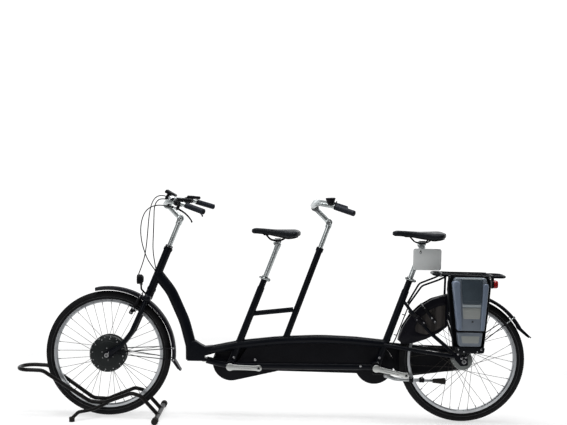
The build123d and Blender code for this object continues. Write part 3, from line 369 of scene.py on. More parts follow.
class Mesh:
    def __init__(self):
        self.v, self.f, self.m = [], [], []

    def add(self, verts, faces, mat=0):
        b = len(self.v)
        self.v.extend([tuple(map(float, p)) for p in verts])
        self.f.extend([tuple(i + b for i in f) for f in faces])
        self.m.extend([mat] * len(faces) if isinstance(mat, int) else list(mat))

    def rings(self, loops, mat=0, cap0=True, cap1=True, closed=False):
        """Skin through loops of equal length; mat may be one index for each band."""
        n = len(loops[0])
        verts = [p for l in loops for p in l]
        faces, mats = [], []
        k = len(loops)
        for i in range(k if closed else k - 1):
            for j in range(n):
                a, b = i * n + j, i * n + (j + 1) % n
                c, d = ((i + 1) % k) * n + (j + 1) % n, ((i + 1) % k) * n + j
                faces.append((a, b, c, d))
                mats.append(mat if isinstance(mat, int) else mat[i])
        if not closed:
            if cap0:
                faces.append(tuple(reversed(range(n))))
                mats.append(mat if isinstance(mat, int) else mat[0])
            if cap1:
                faces.append(tuple((k - 1) * n + j for j in range(n)))
                mats.append(mat if isinstance(mat, int) else mat[-1])
        self.add(verts, faces, mats)

    def lathe(self, prof, origin, axis, seg=32, mat=0, ref=None, caps=True):
        """prof is (height along axis, radius)."""
        o, a = np.array(origin, float), unit(axis)
        u, w = side_of(a, ref)
        ang = [TAU * i / seg for i in range(seg)]
        self.rings([[o + a * h + r * (u * math.cos(t) + w * math.sin(t)) for t in ang] for h, r in prof], mat, caps, caps)

    def ring_of(self, prof, origin, axis, seg=64, mat=0):
        """Closed turned ring; prof is a closed loop of (height, radius)."""
        o, a = np.array(origin, float), unit(axis)
        u, w = side_of(a)
        loops = []
        for i in range(seg):
            t = TAU * i / seg
            d = u * math.cos(t) + w * math.sin(t)
            loops.append([o + a * h + d * r for h, r in prof])
        self.rings(loops, mat, closed=True)

    def cyl(self, a, b, r, seg=24, mat=0, edge=0.8, r2=None):
        """Round bar with broken edges."""
        a, b = np.array(a, float), np.array(b, float)
        L = np.linalg.norm(b - a)
        r2 = r if r2 is None else r2
        e = min(edge, L * 0.3, r * 0.5)
        self.lathe([(0, r - e), (e * 0.3, r - e * 0.3), (e, r), (L - e, r2), (L - e * 0.3, r2 - e * 0.3), (L, r2 - e)],
                   a, b - a, seg, mat)

    def sweep(self, pts, r, seg=16, mat=0, ref=None, round_ends=True, flat=None, caps=True):
        """Tube along close points; r is a radius or one radius a point; flat is (side, up) scales."""
        pts = np.array([np.array(p, float) for p in pts])
        n = len(pts)
        rr = np.full(n, float(r)) if np.isscalar(r) else np.array(r, float)
        tan = np.gradient(pts, axis=0)
        tan /= np.linalg.norm(tan, axis=1)[:, None]
        u, w = side_of(tan[0], ref)
        fl = (1.0, 1.0) if flat is None else flat
        loops = []
        for i in range(n):
            if i:
                u = u - tan[i] * u.dot(tan[i])
                u /= np.linalg.norm(u)
                w = np.cross(tan[i], u)
            su, sw = (fl if not callable(fl) else fl(i / (n - 1)))
            loops.append([pts[i] + rr[i] * (su * u * math.cos(t) + sw * w * math.sin(t))
                          for t in np.linspace(0, TAU, seg, endpoint=False)])
        if round_ends and caps:
            first, last = loops[0], loops[-1]
            c0, c1 = pts[0], pts[-1]
            head = [[c0 + (p - c0) * k - tan[0] * rr[0] * d for p in first] for k, d in ((0.45, 0.42), (0.8, 0.28), (0.95, 0.12))]
            tail = [[c1 + (p - c1) * k + tan[-1] * rr[-1] * d for p in last] for k, d in ((0.95, 0.12), (0.8, 0.28), (0.45, 0.42))]
            loops = head + loops + tail
        self.rings(loops, mat, caps, caps)

    def plate(self, pts, frame_, h0, h1, edge=0.8, mat=0, steps=2):
        """Extruded outline with rounded edges. frame_ = (origin, x axis, y axis); the height runs along x cross y."""
        o, ux, uy = [np.array(q, float) for q in frame_]
        uz = np.cross(ux, uy)
        pts = np.array(pts, float)
        area = 0.5 * np.sum(pts[:, 0] * np.roll(pts[:, 1], -1) - np.roll(pts[:, 0], -1) * pts[:, 1])
        if area < 0:
            pts = pts[::-1]
        nxt, prv = np.roll(pts, -1, 0), np.roll(pts, 1, 0)
        d1 = nxt - pts
        d0 = pts - prv
        d1 /= np.maximum(np.linalg.norm(d1, axis=1), 1e-9)[:, None]
        d0 /= np.maximum(np.linalg.norm(d0, axis=1), 1e-9)[:, None]
        n1 = np.stack([-d1[:, 1], d1[:, 0]], 1)
        n0 = np.stack([-d0[:, 1], d0[:, 0]], 1)
        nn = n1 + n0
        nn /= np.maximum(np.linalg.norm(nn, axis=1), 1e-6)[:, None]
        cosv = np.clip(np.sum(nn * n1, 1), 0.45, 1)
        inward = nn / cosv[:, None]

        def loop(inset, h):
            q = pts + inward * inset
            return [o + ux * a + uy * b + uz * h for a, b in q]
        loops = []
        for i in range(steps + 1):
            t = (math.pi / 2) * i / steps
            loops.append(loop(edge * (1 - math.sin(t)), h0 + edge * (1 - math.cos(t))))
        for i in range(steps + 1):
            t = (math.pi / 2) * i / steps
            loops.append(loop(edge * (1 - math.cos(t)), h1 - edge * (1 - math.sin(t))))
        self.rings(loops, mat)

    def rbox(self, c, size, r, rot=None, mat=0, n=4, fit=None):
        """Box with rounded edges; fit(p) may bend the finished points, given in the box's own mm."""
        hx, hy, hz = [s / 2 for s in size]
        r = min(r, hx, hy, hz)
        R = np.eye(3) if rot is None else np.array(rot, float)
        c = np.array(c, float)
        lines = []
        for h in (hx, hy, hz):
            q = [-h + r * (1 - math.cos(math.pi / 2 * i / n)) for i in range(n + 1)]
            lines.append(q[:] + ([0.0] if h > r + 1e-6 else []) + [-t for t in reversed(q)] if h > r + 1e-6 else q + [-t for t in reversed(q[:-1])])
        verts, faces, index = [], [], {}

        def vid(p):
            k = tuple(round(t, 5) for t in p)
            if k not in index:
                index[k] = len(verts)
                verts.append(p)
            return index[k]
        for ax in range(3):
            b, d = (ax + 1) % 3, (ax + 2) % 3
            for s in (-1, 1):
                for i in range(len(lines[b]) - 1):
                    for j in range(len(lines[d]) - 1):
                        quad = []
                        for p, q in ((i, j), (i + 1, j), (i + 1, j + 1), (i, j + 1)):
                            pt = [0, 0, 0]
                            pt[ax], pt[b], pt[d] = s * (hx, hy, hz)[ax], lines[b][p], lines[d][q]
                            quad.append(vid(tuple(pt)))
                        faces.append(tuple(quad) if s > 0 else tuple(reversed(quad)))
        out = []
        for p in verts:
            p = np.array(p)
            inner = np.array([max(-h + r, min(h - r, t)) for t, h in zip(p, (hx, hy, hz))])
            d = p - inner
            L = np.linalg.norm(d)
            q = inner + (d / L * r if L > 1e-9 else 0)
            if fit:
                q = np.array(fit(q))
            out.append(c + R @ q)
        self.add(out, faces, mat)

    def bolt(self, p, axis, r=4.0, h=3.0, kind="socket", mat=0, dark=None):
        """Small screw head seated at p, pointing along axis; a socket head's recess takes the dark material, painted
        shade inside the recess.
        """
        p, a = np.array(p, float), unit(axis)
        dark = mat if dark is None else dark
        if kind == "hex":
            u, w = side_of(a)
            self.lathe([(-0.4, r * 1.35), (0.5, r * 1.35), (0.7, r * 1.25)], p, a, 20, mat)
            l = lambda k, hh: [p + a * hh + r * k * (u * math.cos(TAU * i / 6) + w * math.sin(TAU * i / 6)) for i in range(6)]
            self.rings([l(1.1, 0.5), l(1.1, h - 0.4), l(0.95, h)], mat)
            self.lathe([(h - 0.5, r * 0.55), (h + 0.7, r * 0.5), (h + 0.8, r * 0.3)], p, a, 14, mat)
        else:
            # socket head: the recess wall and floor take the dark material, painted shade inside the recess
            self.lathe([(-0.4, r), (h * 0.6, r), (h * 0.9, r * 0.86), (h, r * 0.7), (h, r * 0.5), (h * 0.45, r * 0.48), (h * 0.45, r * 0.05)],
                       p, a, 16, [mat, mat, mat, mat, dark, dark])

    def obj(self, name, mats, body, slot=None, angle=38.0, sub=0, weld=True):
        me = bpy.data.meshes.new(name)
        me.from_pydata([P(*p) for p in self.v], [], self.f)
        for mt in mats:
            me.materials.append(mt)
        me.polygons.foreach_set("material_index", self.m)
        bm = bmesh.new()
        bm.from_mesh(me)
        if weld:
            bmesh.ops.remove_doubles(bm, verts=bm.verts, dist=1e-6)
        big = [f for f in bm.faces if len(f.verts) > 4]
        if big:
            bmesh.ops.triangulate(bm, faces=big)
        bmesh.ops.recalc_face_normals(bm, faces=bm.faces)
        for f in bm.faces:
            f.smooth = True
        lim = math.radians(angle)
        for e in bm.edges:
            e.smooth = len(e.link_faces) != 2 or e.calc_face_angle(0.0) < lim
        bm.to_mesh(me)
        bm.free()
        me.update()
        o = bpy.data.objects.new(name, me)
        bpy.context.scene.collection.objects.link(o)
        if sub:
            md = o.modifiers.new("sub", "SUBSURF")
            md.levels = md.render_levels = sub
        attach(o, body)
        return o


def spline(ctrl, n=12, closed=False):
    """Catmull-Rom points through ctrl."""
    c = [np.array(p, float) for p in ctrl]
    if closed:
        c = [c[-1]] + c + [c[0], c[1]]
    else:
        c = [2 * c[0] - c[1]] + c + [2 * c[-1] - c[-2]]
    out = []
    for i in range(1, len(c) - 2):
        a, b, d, e = c[i - 1], c[i], c[i + 1], c[i + 2]
        for k in range(n):
            t = k / n
            out.append(0.5 * ((2 * b) + (d - a) * t + (2 * a - 5 * b + 4 * d - e) * t * t + (3 * b - a - 3 * d + e) * t ** 3))
    if not closed:
        out.append(c[-2])
    return out


def filleted(pts, radii, step=6.0):
    """Straight runs with true arcs at the corners, sampled closely."""
    v = [np.array(p, float) for p in pts]
    if not isinstance(radii, (list, tuple)):
        radii = [radii] * (len(v) - 2)
    out = [v[0]]
    for i in range(1, len(v) - 1):
        a, b = unit(v[i - 1] - v[i]), unit(v[i + 1] - v[i])
        turn = math.pi - math.acos(max(-1, min(1, a.dot(b))))
        if turn < 1e-3:
            out.append(v[i])
            continue
        r = radii[i - 1]
        t = r * math.tan(turn / 2)
        c = v[i] + unit(a + b) * (r / math.cos(turn / 2))
        p0, p1 = v[i] + a * t, v[i] + b * t
        k = max(3, int(r * turn / step))
        e0, e1 = unit(p0 - c), unit(p1 - c)
        w = math.acos(max(-1, min(1, e0.dot(e1))))
        for j in range(k + 1):
            s = j / k
            out.append(c + r * (e0 * math.sin((1 - s) * w) + e1 * math.sin(s * w)) / math.sin(w))
    out.append(v[-1])
    return out


def rounded(corners, seg=5):
    """2-D outline with rounded corners from (x, y, r)."""
    out = []
    n = len(corners)
    for i, (x, y, r) in enumerate(corners):
        p = np.array((x, y), float)
        a = np.array(corners[i - 1][:2], float) - p
        b = np.array(corners[(i + 1) % n][:2], float) - p
        la, lb = np.linalg.norm(a), np.linalg.norm(b)
        a, b = a / la, b / lb
        turn = math.pi - math.acos(max(-1, min(1, a.dot(b))))
        if r <= 0 or turn < 0.02:
            out.append(tuple(p))
            continue
        t = min(r * math.tan(turn / 2), la * 0.49, lb * 0.49)
        rr = t / math.tan(turn / 2)
        c = p + unit(a + b) * (rr / math.cos(turn / 2))
        e0, e1 = unit(p + a * t - c), unit(p + b * t - c)
        w = math.acos(max(-1, min(1, e0.dot(e1))))
        for j in range(seg + 1):
            s = j / seg
            out.append(tuple(c + rr * (e0 * math.sin((1 - s) * w) + e1 * math.sin(s * w)) / math.sin(w)))
    return out


XZ = ((0, 0, 0), (1, 0, 0), (0, 0, 1))      # outline in X, Z; height runs along -Y


def steer(z, off=0.0, y=0.0):
    n = math.sqrt(1 + 0.396 ** 2)
    return np.array((1581.0 + (768.0 - z) * 0.396 + off / n, y, z + off * 0.396 / n))


STEER_AX = unit((-0.396, 0, 1))


def seg_pt(pts, i, t, s=1):
    a, b = np.array(pts[i], float), np.array(pts[i + 1], float)
    q = a + (b - a) * t
    return np.array((q[0], s * q[1], q[2]))


# ------------------------------------------------------------------ control cables
def cable(name, pts):
    cu = bpy.data.curves.new(name, "CURVE")
    cu.dimensions = "3D"
    sp = cu.splines.new("NURBS")
    sp.points.add(len(pts) - 1)
    for q, p in zip(sp.points, pts):
        q.co = (*P(*p), 1.0)
    sp.order_u = 3
    sp.use_endpoint_u = True
    sp.resolution_u = 8
    cu.bevel_depth = 0.0027
    cu.bevel_resolution = 4
    cu.use_fill_caps = True
    cu.materials.append(M["cable"])
    o = bpy.data.objects.new(name, cu)
    bpy.context.scene.collection.objects.link(o)
    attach(o, "steering")
    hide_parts("control_cables")
    return o


CABLE_A = [(1500, 209, 1106), (1548, 186, 1112), (1596, 152, 1106), (1638, 112, 1082),
           (1664, 78, 1036), (1675, 54, 978), (1671, 38, 916), (1656, 27, 858), (1634, 20, 806), (1602.6, 13.3, 765.4)]
CABLE_B = [(1500, -209, 1106), (1550, -190, 1134), (1592, -158, 1152), (1624, -120, 1142),
           (1640, -84, 1106), (1646, -56, 1056), (1648, -36, 1000), (1650, -22, 942),
           (1654, -14, 884), (1662, -8, 828), (1677, -4, 778), (1690, 0, 742)]
CABLE_C = [(1538, 30, 1134), (1570, 26, 1140), (1598, 17, 1126), (1612, 6, 1092), (1614, -4, 1046),
           (1616, -10, 994), (1618, -14, 940), (1620, -16, 886), (1616, -17, 834), (1602.2, -13.2, 767)]
for cname, cpts, clen in (("left_brake_cable", CABLE_A, 0.533), ("right_brake_cable", CABLE_B, 0.600),
                          ("display_cable", CABLE_C, 0.429)):
    c = cable(cname, cpts)


# ------------------------------------------------------------------ wheels
def tyre(name, cx, body, node):
    R, T = 303.0, 23.4
    seg = 1020
    # half-section angles from straight out (0) to the bead
    half = [0, 3.2, 5.5, 11, 15.5, 20, 25, 30, 35, 41, 47, 56, 66, 78, 90, 100, 104, 105.5, 107, 112, 122, 132, 142, 147]
    ang = [-a for a in reversed(half[1:])] + half
    m = Mesh()
    loops = []
    for i in range(seg):
        t = TAU * i / seg
        c, s = math.cos(t), math.sin(t)
        loop = []
        for a in ang:
            aa = abs(a)
            ra = math.radians(a)
            r = T
            if aa < 47:
                k = (i + int(aa / 5.2)) % 6
                if aa < 4:
                    cut = 0.0 if aa < 1 else 1.3
                elif aa < 20:
                    cut = 1.5 if k in (0,) else 0.0
                elif aa < 24:
                    cut = 1.2
                else:
                    cut = 1.6 if k in (0, 1) else 0.0
                r = T - cut
            elif aa < 60:
                r = T - 1.0
            else:
                r = T - 0.5 + (0.3 if 103.5 < aa < 106.5 else 0.0)
            rad = R + r * math.cos(ra)
            loop.append((cx + rad * c, r * math.sin(ra), AX + rad * s))
        loops.append(loop)
    n = len(ang)
    verts = [p for l in loops for p in l]
    faces, mats = [], []
    for i in range(seg):
        for j in range(n):
            j2 = (j + 1) % n
            a, b = i * n + j, i * n + j2
            c, d = ((i + 1) % seg) * n + j2, ((i + 1) % seg) * n + j
            faces.append((a, b, c, d))
            lo = abs(ang[j]), abs(ang[j2])
            mats.append(1 if min(lo) >= 104 and max(lo) <= 107 else 0)
    m.add(verts, faces, mats)
    o = m.obj(name, [M["tyre"], M["line"]], body, "tyre_black", 40)
    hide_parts(node)


tyre("front_tyre_tread", WB, "front_wheel", "front_tyre")
tyre("rear_tyre_tread", 0.0, "rear_wheel", "rear_tyre")


def wheel_trim(cx, body, key):
    m = Mesh()
    for i in range(36):
        a = math.radians(10.0 * i + 2.0)
        side = 1 if i % 2 == 0 else -1
        rad = np.array((math.cos(a), 0, math.sin(a)))
        base = np.array((cx, 0, AX)) + rad * 267.6 + np.array((0, side * 2.2, 0))
        hub = np.array((cx, side * 30.0, AX)) + rad * 80
        d = unit(hub - base)
        m.lathe([(-1.4, 3.2), (0.4, 3.0), (1.0, 2.1), (11.0, 1.8), (12.0, 1.4)], base, d, 10, 0)
        # eyelet in the rim
        m.lathe([(-1.6, 4.2), (0.1, 4.2), (0.5, 3.4)], np.array((cx, side * 2.2, AX)) + rad * 267.4, -rad, 12, 1)
    # valve
    a = math.radians(-83.0 if key == "front" else 117.0)
    rad = np.array((math.cos(a), 0, math.sin(a)))
    base = np.array((cx, 0, AX)) + rad * 268
    m.lathe([(0, 4.2), (2.5, 4.2), (2.6, 3.1), (24, 3.1), (24.2, 4.0), (34, 3.8), (36, 2.8)], base, -rad, 16, 2)
    m.obj(key + "_nipples_and_valve", [M["spoke"], RIMS[key], M["plastic"]], body, "spoke_steel")


wheel_trim(WB, "front_wheel", "front")
wheel_trim(0.0, "rear_wheel", "rear")


def motor():
    """Covers, cooling land and screws of the front hub."""
    m = Mesh()
    o, a = (WB, 0, AX), (0, 1, 0)
    m.lathe([(-46, 6.2), (-46, 19), (-45, 20.5), (-43.6, 21.5), (-43, 26), (-42.4, 60), (-42.6, 64), (-41.6, 67.5),
             (-39, 69), (-38.2, 72), (-37.4, 86.5), (-35.6, 90.5), (-32, 94), (-30.6, 95), (-26.6, 95), (-25.8, 94.4), (-25.5, 91.2),
             (-18, 91), (-17.5, 90), (-9, 90), (-8.5, 91), (8.5, 91), (9, 90), (17.5, 90), (18, 91), (25.5, 91.2),
             (25.8, 94.4), (26.6, 95), (30.6, 95), (32, 94), (35.6, 90.5), (37.4, 86.5), (38.2, 72), (39, 69),
             (41.6, 67.5), (42.6, 64), (42.4, 60), (43, 26), (43.6, 21.5), (45, 20.5), (46, 19), (46, 6.2)], o, a, 96, 0)
    for s in (1, -1):
        for i in range(12):
            t = TAU * i / 12 + 0.13
            m.bolt((WB + 79.5 * math.cos(t), s * 37.8, AX + 79.5 * math.sin(t)), (0, s, 0), 3.4, 2.2, mat=1, dark=2)
        for i in range(6):
            t = TAU * i / 6 + 0.4
            m.bolt((WB + 31 * math.cos(t), s * 42.6, AX + 31 * math.sin(t)), (0, s, 0), 2.6, 1.6, mat=1, dark=2)
        # spoke holes' land: a small boss for each spoke head
        for i in range(18):
            t = TAU * (i + (0.5 if s < 0 else 0)) / 18
            m.lathe([(-0.6, 2.6), (0.8, 2.4), (1.2, 1.4)], (WB + 89 * math.cos(t), s * 35.8, AX + 89 * math.sin(t)), (0, s, 0), 8, 1)
    ob = m.obj("hub_motor_shell", [M["hub"], M["steel"], M["plastic"]], "front_wheel", "hub_dark", 30)
    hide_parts("hub_motor")


motor()


def rear_hub():
    m = Mesh()
    o, a = (0, 0, AX), (0, 1, 0)
    m.lathe([(-44, 5.7), (-44, 21), (-43, 24), (-36.4, 25.6), (-34.6, 34), (-33.6, 50), (-32.6, 52), (-29.4, 52),
             (-28.6, 50.5), (-25.6, 41), (-20, 37.4), (-14, 36), (14, 36), (20, 37.4), (25.6, 41), (28.6, 50.5),
             (29.4, 52), (32.6, 52), (33.6, 50), (34.6, 34), (36.4, 25.6), (44, 24), (49, 22.4), (50, 20), (50, 5.7)], o, a, 72, 0)
    for s in (1, -1):
        for i in range(18):
            t = TAU * (i + (0.5 if s < 0 else 0)) / 18
            m.lathe([(-0.6, 2.4), (0.6, 2.2), (1.0, 1.2)], (49 * math.cos(t), s * 33.2, AX + 49 * math.sin(t)), (0, s, 0), 8, 1)
    for y in (-8.0, 8.0):
        m.ring_of([(y - 1.5, 35.8), (y - 1.0, 36.8), (y + 1.0, 36.8), (y + 1.5, 35.8)], o, a, 64, 1)
    ob = m.obj("gear_hub_shell", [M["hub_alu"], M["steel"]], "rear_wheel", "hub_alu", 30)
    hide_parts("rear_hub")


rear_hub()


def axle_nuts():
    for cx, half, body, nm in ((WB, 59.0, "steering", "front_axle_nuts"), (0.0, 66.0, "frame", "rear_axle_nuts")):
        m = Mesh()
        for s in (1, -1):
            a = np.array((0, s, 0), float)
            p = np.array((cx, s * (half + 3.0), AX))
            m.lathe([(0.0, 11.3), (1.8, 11.3), (2.2, 10.8)], p, a, 28, 0)
            u, w = side_of(a)
            l = lambda k, h: [p + a * h + k * (u * math.cos(TAU * i / 6) + w * math.sin(TAU * i / 6)) for i in range(6)]
            m.rings([l(10.4, 2.0), l(10.6, 2.6), l(10.6, 8.8), l(9.8, 9.8)], 0)
            end = (76.0 if cx > 0 else 80.0) - half - 3.0
            m.lathe([(9.6, 5.9 if cx > 0 else 5.4), (end - 0.8, 5.9 if cx > 0 else 5.4), (end, 4.9)], p, a, 20, 0)
            for k in range(4):
                m.ring_of([(10.2 + k * 0.9, 5.0), (10.5 + k * 0.9, 5.98), (10.8 + k * 0.9, 5.0)], p, a, 20, 0)
        m.obj(nm, [M["steel"]], body, "axle_steel")


axle_nuts()


# ------------------------------------------------------------------ saddles and posts
def saddle(name, node, nose, tail, top, width, lift, body="frame"):
    L = nose - tail
    nu, nv = 96, 72
    h = width / 2 - 1.0

    def half_w(u):
        # u from 0 at the nose to 1 at the tail
        xs = [0, 0.05, 0.14, 0.30, 0.46, 0.60, 0.72, 0.84, 0.93, 1.0]
        ys = [0.20, 0.215, 0.235, 0.27, 0.37, 0.60, 0.84, 1.0, 0.99, 0.90]
        return float(np.interp(u, xs, ys)) * h

    def crest(u):
        return top + lift * (1 - u) + float(np.interp(u, [0, 0.08, 0.25, 0.5, 0.75, 0.92, 1.0], [-9.0, -3.0, -3.5, -6.0, -3.5, -1.6, -6.0]))

    def depth(u):
        return float(np.interp(u, [0, 0.1, 0.35, 0.55, 0.74, 0.86, 1.0], [25, 27, 29, 35, 44, 39, 28]))
    # smooth the three curves
    us = np.linspace(0, 1, nu)
    ker = np.exp(-np.linspace(-2, 2, 15) ** 2)
    ker /= ker.sum()
    sm = lambda fn: np.convolve(np.pad([fn(u) for u in us], 7, mode="edge"), ker, mode="valid")
    W, C, D = sm(half_w), sm(crest), sm(depth)
    loops = []
    rows = []
    for i, u in enumerate(us):
        # round the two ends in plan
        e0 = min(1.0, (u / 0.085)) if u < 0.085 else 1.0
        e1 = min(1.0, ((1 - u) / 0.14)) if u > 0.86 else 1.0
        k = math.sqrt(max(0.0, 1 - (1 - e0) ** 2)) * math.sqrt(max(0.0, 1 - (1 - e1) ** 2.4))
        k = max(k, 0.02)
        kz = 0.45 + 0.55 * k
        x = nose - L * u
        loop = []
        for j in range(nv):
            t = TAU * j / nv
            c, s = math.cos(t), math.sin(t)
            y = W[i] * k * math.copysign(abs(c) ** 0.72, c)
            mid = C[i] - D[i] * 0.42
            if s >= 0:
                z = mid + (C[i] - mid) * kz * abs(s) ** 0.62
                # shallow relief channel down the middle, and lifted cheeks behind
                ch = 3.2 * math.exp(-(y / 9.0) ** 2) * float(np.interp(u, [0.05, 0.25, 0.85, 0.98], [0, 1, 1, 0]))
                z -= ch * s
            else:
                z = mid - D[i] * 0.58 * kz * abs(s) ** 0.5
            # sewn line between the top and the skirt
            seam = math.exp(-((math.degrees(t if t < math.pi else TAU - t) - 24) / 3.0) ** 2) + \
                math.exp(-((math.degrees(t if t < math.pi else TAU - t) - 156) / 3.0) ** 2)
            if s >= 0:
                y -= math.copysign(1.6 * seam * k, c)
                z -= 1.0 * seam * k
            loop.append((x, y, z))
        loops.append(loop)
        rows.append(k)
    m = Mesh()
    m.rings(loops, 0)
    # stitches beside the seam
    js = [round(nv * 31 / 360), round(nv * 149 / 360)]
    for j in js:
        line = [np.array(loops[i][j]) for i in range(4, nu - 3)]
        cum = [0.0]
        for a, b in zip(line[:-1], line[1:]):
            cum.append(cum[-1] + np.linalg.norm(b - a))
        q = 3.0
        while q < cum[-1] - 4:
            def at(d):
                i = max(0, min(len(line) - 2, int(np.searchsorted(cum, d)) - 1))
                t = (d - cum[i]) / max(1e-6, cum[i + 1] - cum[i])
                return line[i] + (line[i + 1] - line[i]) * t
            a, b = at(q), at(q + 2.6)
            m.sweep([a - (0, 0, 0.1), (a + b) / 2 + np.array((0, 0, 0.35)), b - (0, 0, 0.1)], 0.42, 6, 1)
            q += 4.2
    o = m.obj(name, [M["saddle"], M["thread"]], body, "saddle_black", 60)
    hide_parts(node)
    # moulded base shell under the pad
    b = Mesh()
    base = []
    for i in range(3, nu - 3, 3):
        k = rows[i]
        x = nose - L * us[i]
        w = W[i] * k * 0.86
        zt = C[i] - D[i] * 0.90
        zb = C[i] - D[i] * (0.42 + 0.58 * (0.45 + 0.55 * k)) - 1.6
        base.append([(x, w, zt), (x, w * 0.96, zb), (x, 0, zb + 1.0), (x, -w * 0.96, zb), (x, -w, zt)])
    b.rings(base, 0)
    for s in (1, -1):
        b.rbox((tail + 76, s * 30, top - 41), (26, 16, 12), 3, mat=0)
    b.rbox((nose - 76, 0, top - 25), (30, 34, 14), 4, mat=0)
    b.obj(name + "_base", [M["plastic"]], body, "plastic_black")


saddle("captain_saddle_pad", "captain_saddle", 1105.0, 850.0, 988.0, 205.0, 10.0)
saddle("stoker_saddle_pad", "stoker_saddle", 374.0, 99.0, 991.0, 215.0, 6.0)


def post(name, top, low, nose, tail, top_of_saddle):
    """Seat post, its two-piece cradle and the saddle's rails."""
    m = Mesh()
    t, l = np.array((top[0], 0, top[1]), float), np.array((low[0], 0, low[1]), float)
    d = unit(t - l)
    L = np.linalg.norm(t - l)
    m.lathe([(0, 13.6), (L - 30, 13.6), (L - 26, 13.9), (L - 4, 16.2), (L + 8, 16.6), (L + 12, 15.0), (L + 13, 12)], l, d, 40, 0)
    for k in range(9):
        h = L * 0.46 + k * 10.0
        m.rbox(l + d * h + np.array((0, 13.45, 0)), (7 if k % 2 else 11, 0.5, 0.7), 0.2, mat=1, n=1)
    # cradle: lower shell, upper shell, two screws
    x, z = top
    R = None
    m.rbox((x + 1, 0, z + 18.5), (38, 42, 12), 5.0, mat=0)
    m.rbox((x + 1, 0, z + 31.0), (34, 42, 9), 4.0, mat=0)
    m.cyl((x + 9, -21, z + 13), (x + 9, 21, z + 13), 14.5, 32, 0, 2.0)
    for sy in (1, -1):
        m.ring_of([(0, 7.0), (0.8, 8.2), (2.0, 8.2), (2.6, 7.0)], (x + 9, sy * 20.4, z + 13), (0, sy, 0), 32, 2)
    for sx in (1, -1):
        m.cyl((x + sx * 12, 0, z + 2), (x + sx * 12, 0, z + 36), 2.6, 12, 2)
        m.bolt((x + sx * 12, 0, z + 35.0), (0, 0, 1), 4.4, 1.6, mat=2, dark=1)
    for sy in (1, -1):
        for k in range(5):
            m.rbox((x - 14 + k * 6, sy * 21.0, z + 24), (2.4, 1.0, 16), 0.4, mat=0, n=1)
    m.obj(name, [M["alu"], M["plastic"], M["steel"]], "frame", "alu_silver", 35)
    r = Mesh()
    zr = 918.0
    for s in (1, -1):
        pts = [(x - 50, s * 32, z + 53), (x - 32, s * 27, z + 35), (x - 10, s * 23, z + 26), (x + 16, s * 22, z + 25.5),
               (x + 38, s * 21, z + 31), (x + 54, s * 16, z + 46), (x + 66, s * 13, z + 59)]
        r.sweep(spline(pts, 10), 3.5, 14, 0)
    r.obj(name + "_rails", [M["plastic"]], "frame", "plastic_black")


def seat_parts():
    lo_f = (1031 + 60 * 0.353, 737 - 60 * 0.936)
    lo_r = (276 + 60 * 0.338, 745 - 60 * 0.941)
    post("captain_post", (968.0, 905.0), lo_f, 1105.0, 850.0, 988.0)
    post("stoker_post", (219.5, 905.0), lo_r, 374.0, 99.0, 991.0)
    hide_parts("seat_posts")
    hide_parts("seat_posts")


seat_parts()


# ------------------------------------------------------------------ grips, bars
CAP = [(1548, 55, 1112), (1525, 165, 1130), (1445, 245, 1122), (1329, 308, 1086)]
STK = [(790, 60, 1112), (772, 170, 1132), (700, 245, 1122), (597, 302, 1090)]


def grip_pair(name, pts, node, body):
    m = Mesh()
    for s in (1, -1):
        b = np.array((pts[-1][0], s * pts[-1][1], pts[-1][2]), float)
        a = np.array((pts[-2][0], s * pts[-2][1], pts[-2][2]), float)
        d = unit(b - a)
        st = b - d * 108
        L = 112.0
        u, w = side_of(d, (0, 0, 1))      # u is up, w across
        back = w if w[0] < 0 else -w
        loops, mats = [], []
        n = 56
        hs = [0, 0.5, 1.6, 6, 7, 8]
        h = 10.0
        while h < L - 9:
            hs.append(h)
            h += 1.5
        hs += [L - 8, L - 5, L - 2.2, L - 0.7, L]
        for h in hs:
            q = h / L
            rr = 15.2
            if h < 7.5:
                rr = 14.6 if h > 0.4 else 13.4
            elif h > L - 6:
                rr = 15.4 * math.sqrt(max(0.05, 1 - ((h - (L - 6)) / 6.6) ** 2))
            else:
                rr = 15.0 - (0.55 if int(h / 1.5) % 3 == 0 else 0.0)
            loop = []
            for j in range(n):
                t = TAU * j / n
                v = u * math.cos(t) + back * math.sin(t)
                # palm rest towards the rider near the end, flat underneath
                palm = max(0.0, math.sin(t)) ** 2 * 2.2 * max(0.0, min(1.0, (q - 0.35) / 0.4))
                flat = 1.2 * max(0.0, -math.cos(t)) ** 3
                rad = rr + (palm if h < L - 4 else palm * 0.6) - flat
                rad = min(rad, 15.45 + palm * 0.0 + 1.6)
                loop.append(st + d * h + v * rad)
            loops.append(loop)
            mats.append(1 if h < 6.5 else 0)
        m.rings(loops, mats[:-1] + [0])
        # clamp screw of the inner ring
        m.bolt(st + d * 3.6 - u * 12.6 + back * 4.0, -u, 2.2, 1.6, mat=2, dark=1)
        m.lathe([(0, 9.0), (0.6, 9.0), (0.9, 8.2)], st + d * (L - 0.2), d, 24, 1)
    o = m.obj(name, [M["grip"], M["plastic"], M["steel"]], body, "grip_rubber", 42)
    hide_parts(node)


grip_pair("captain_grip_pair", CAP, "captain_grips", "steering")
grip_pair("stoker_grip_pair", STK, "stoker_grips", "frame")


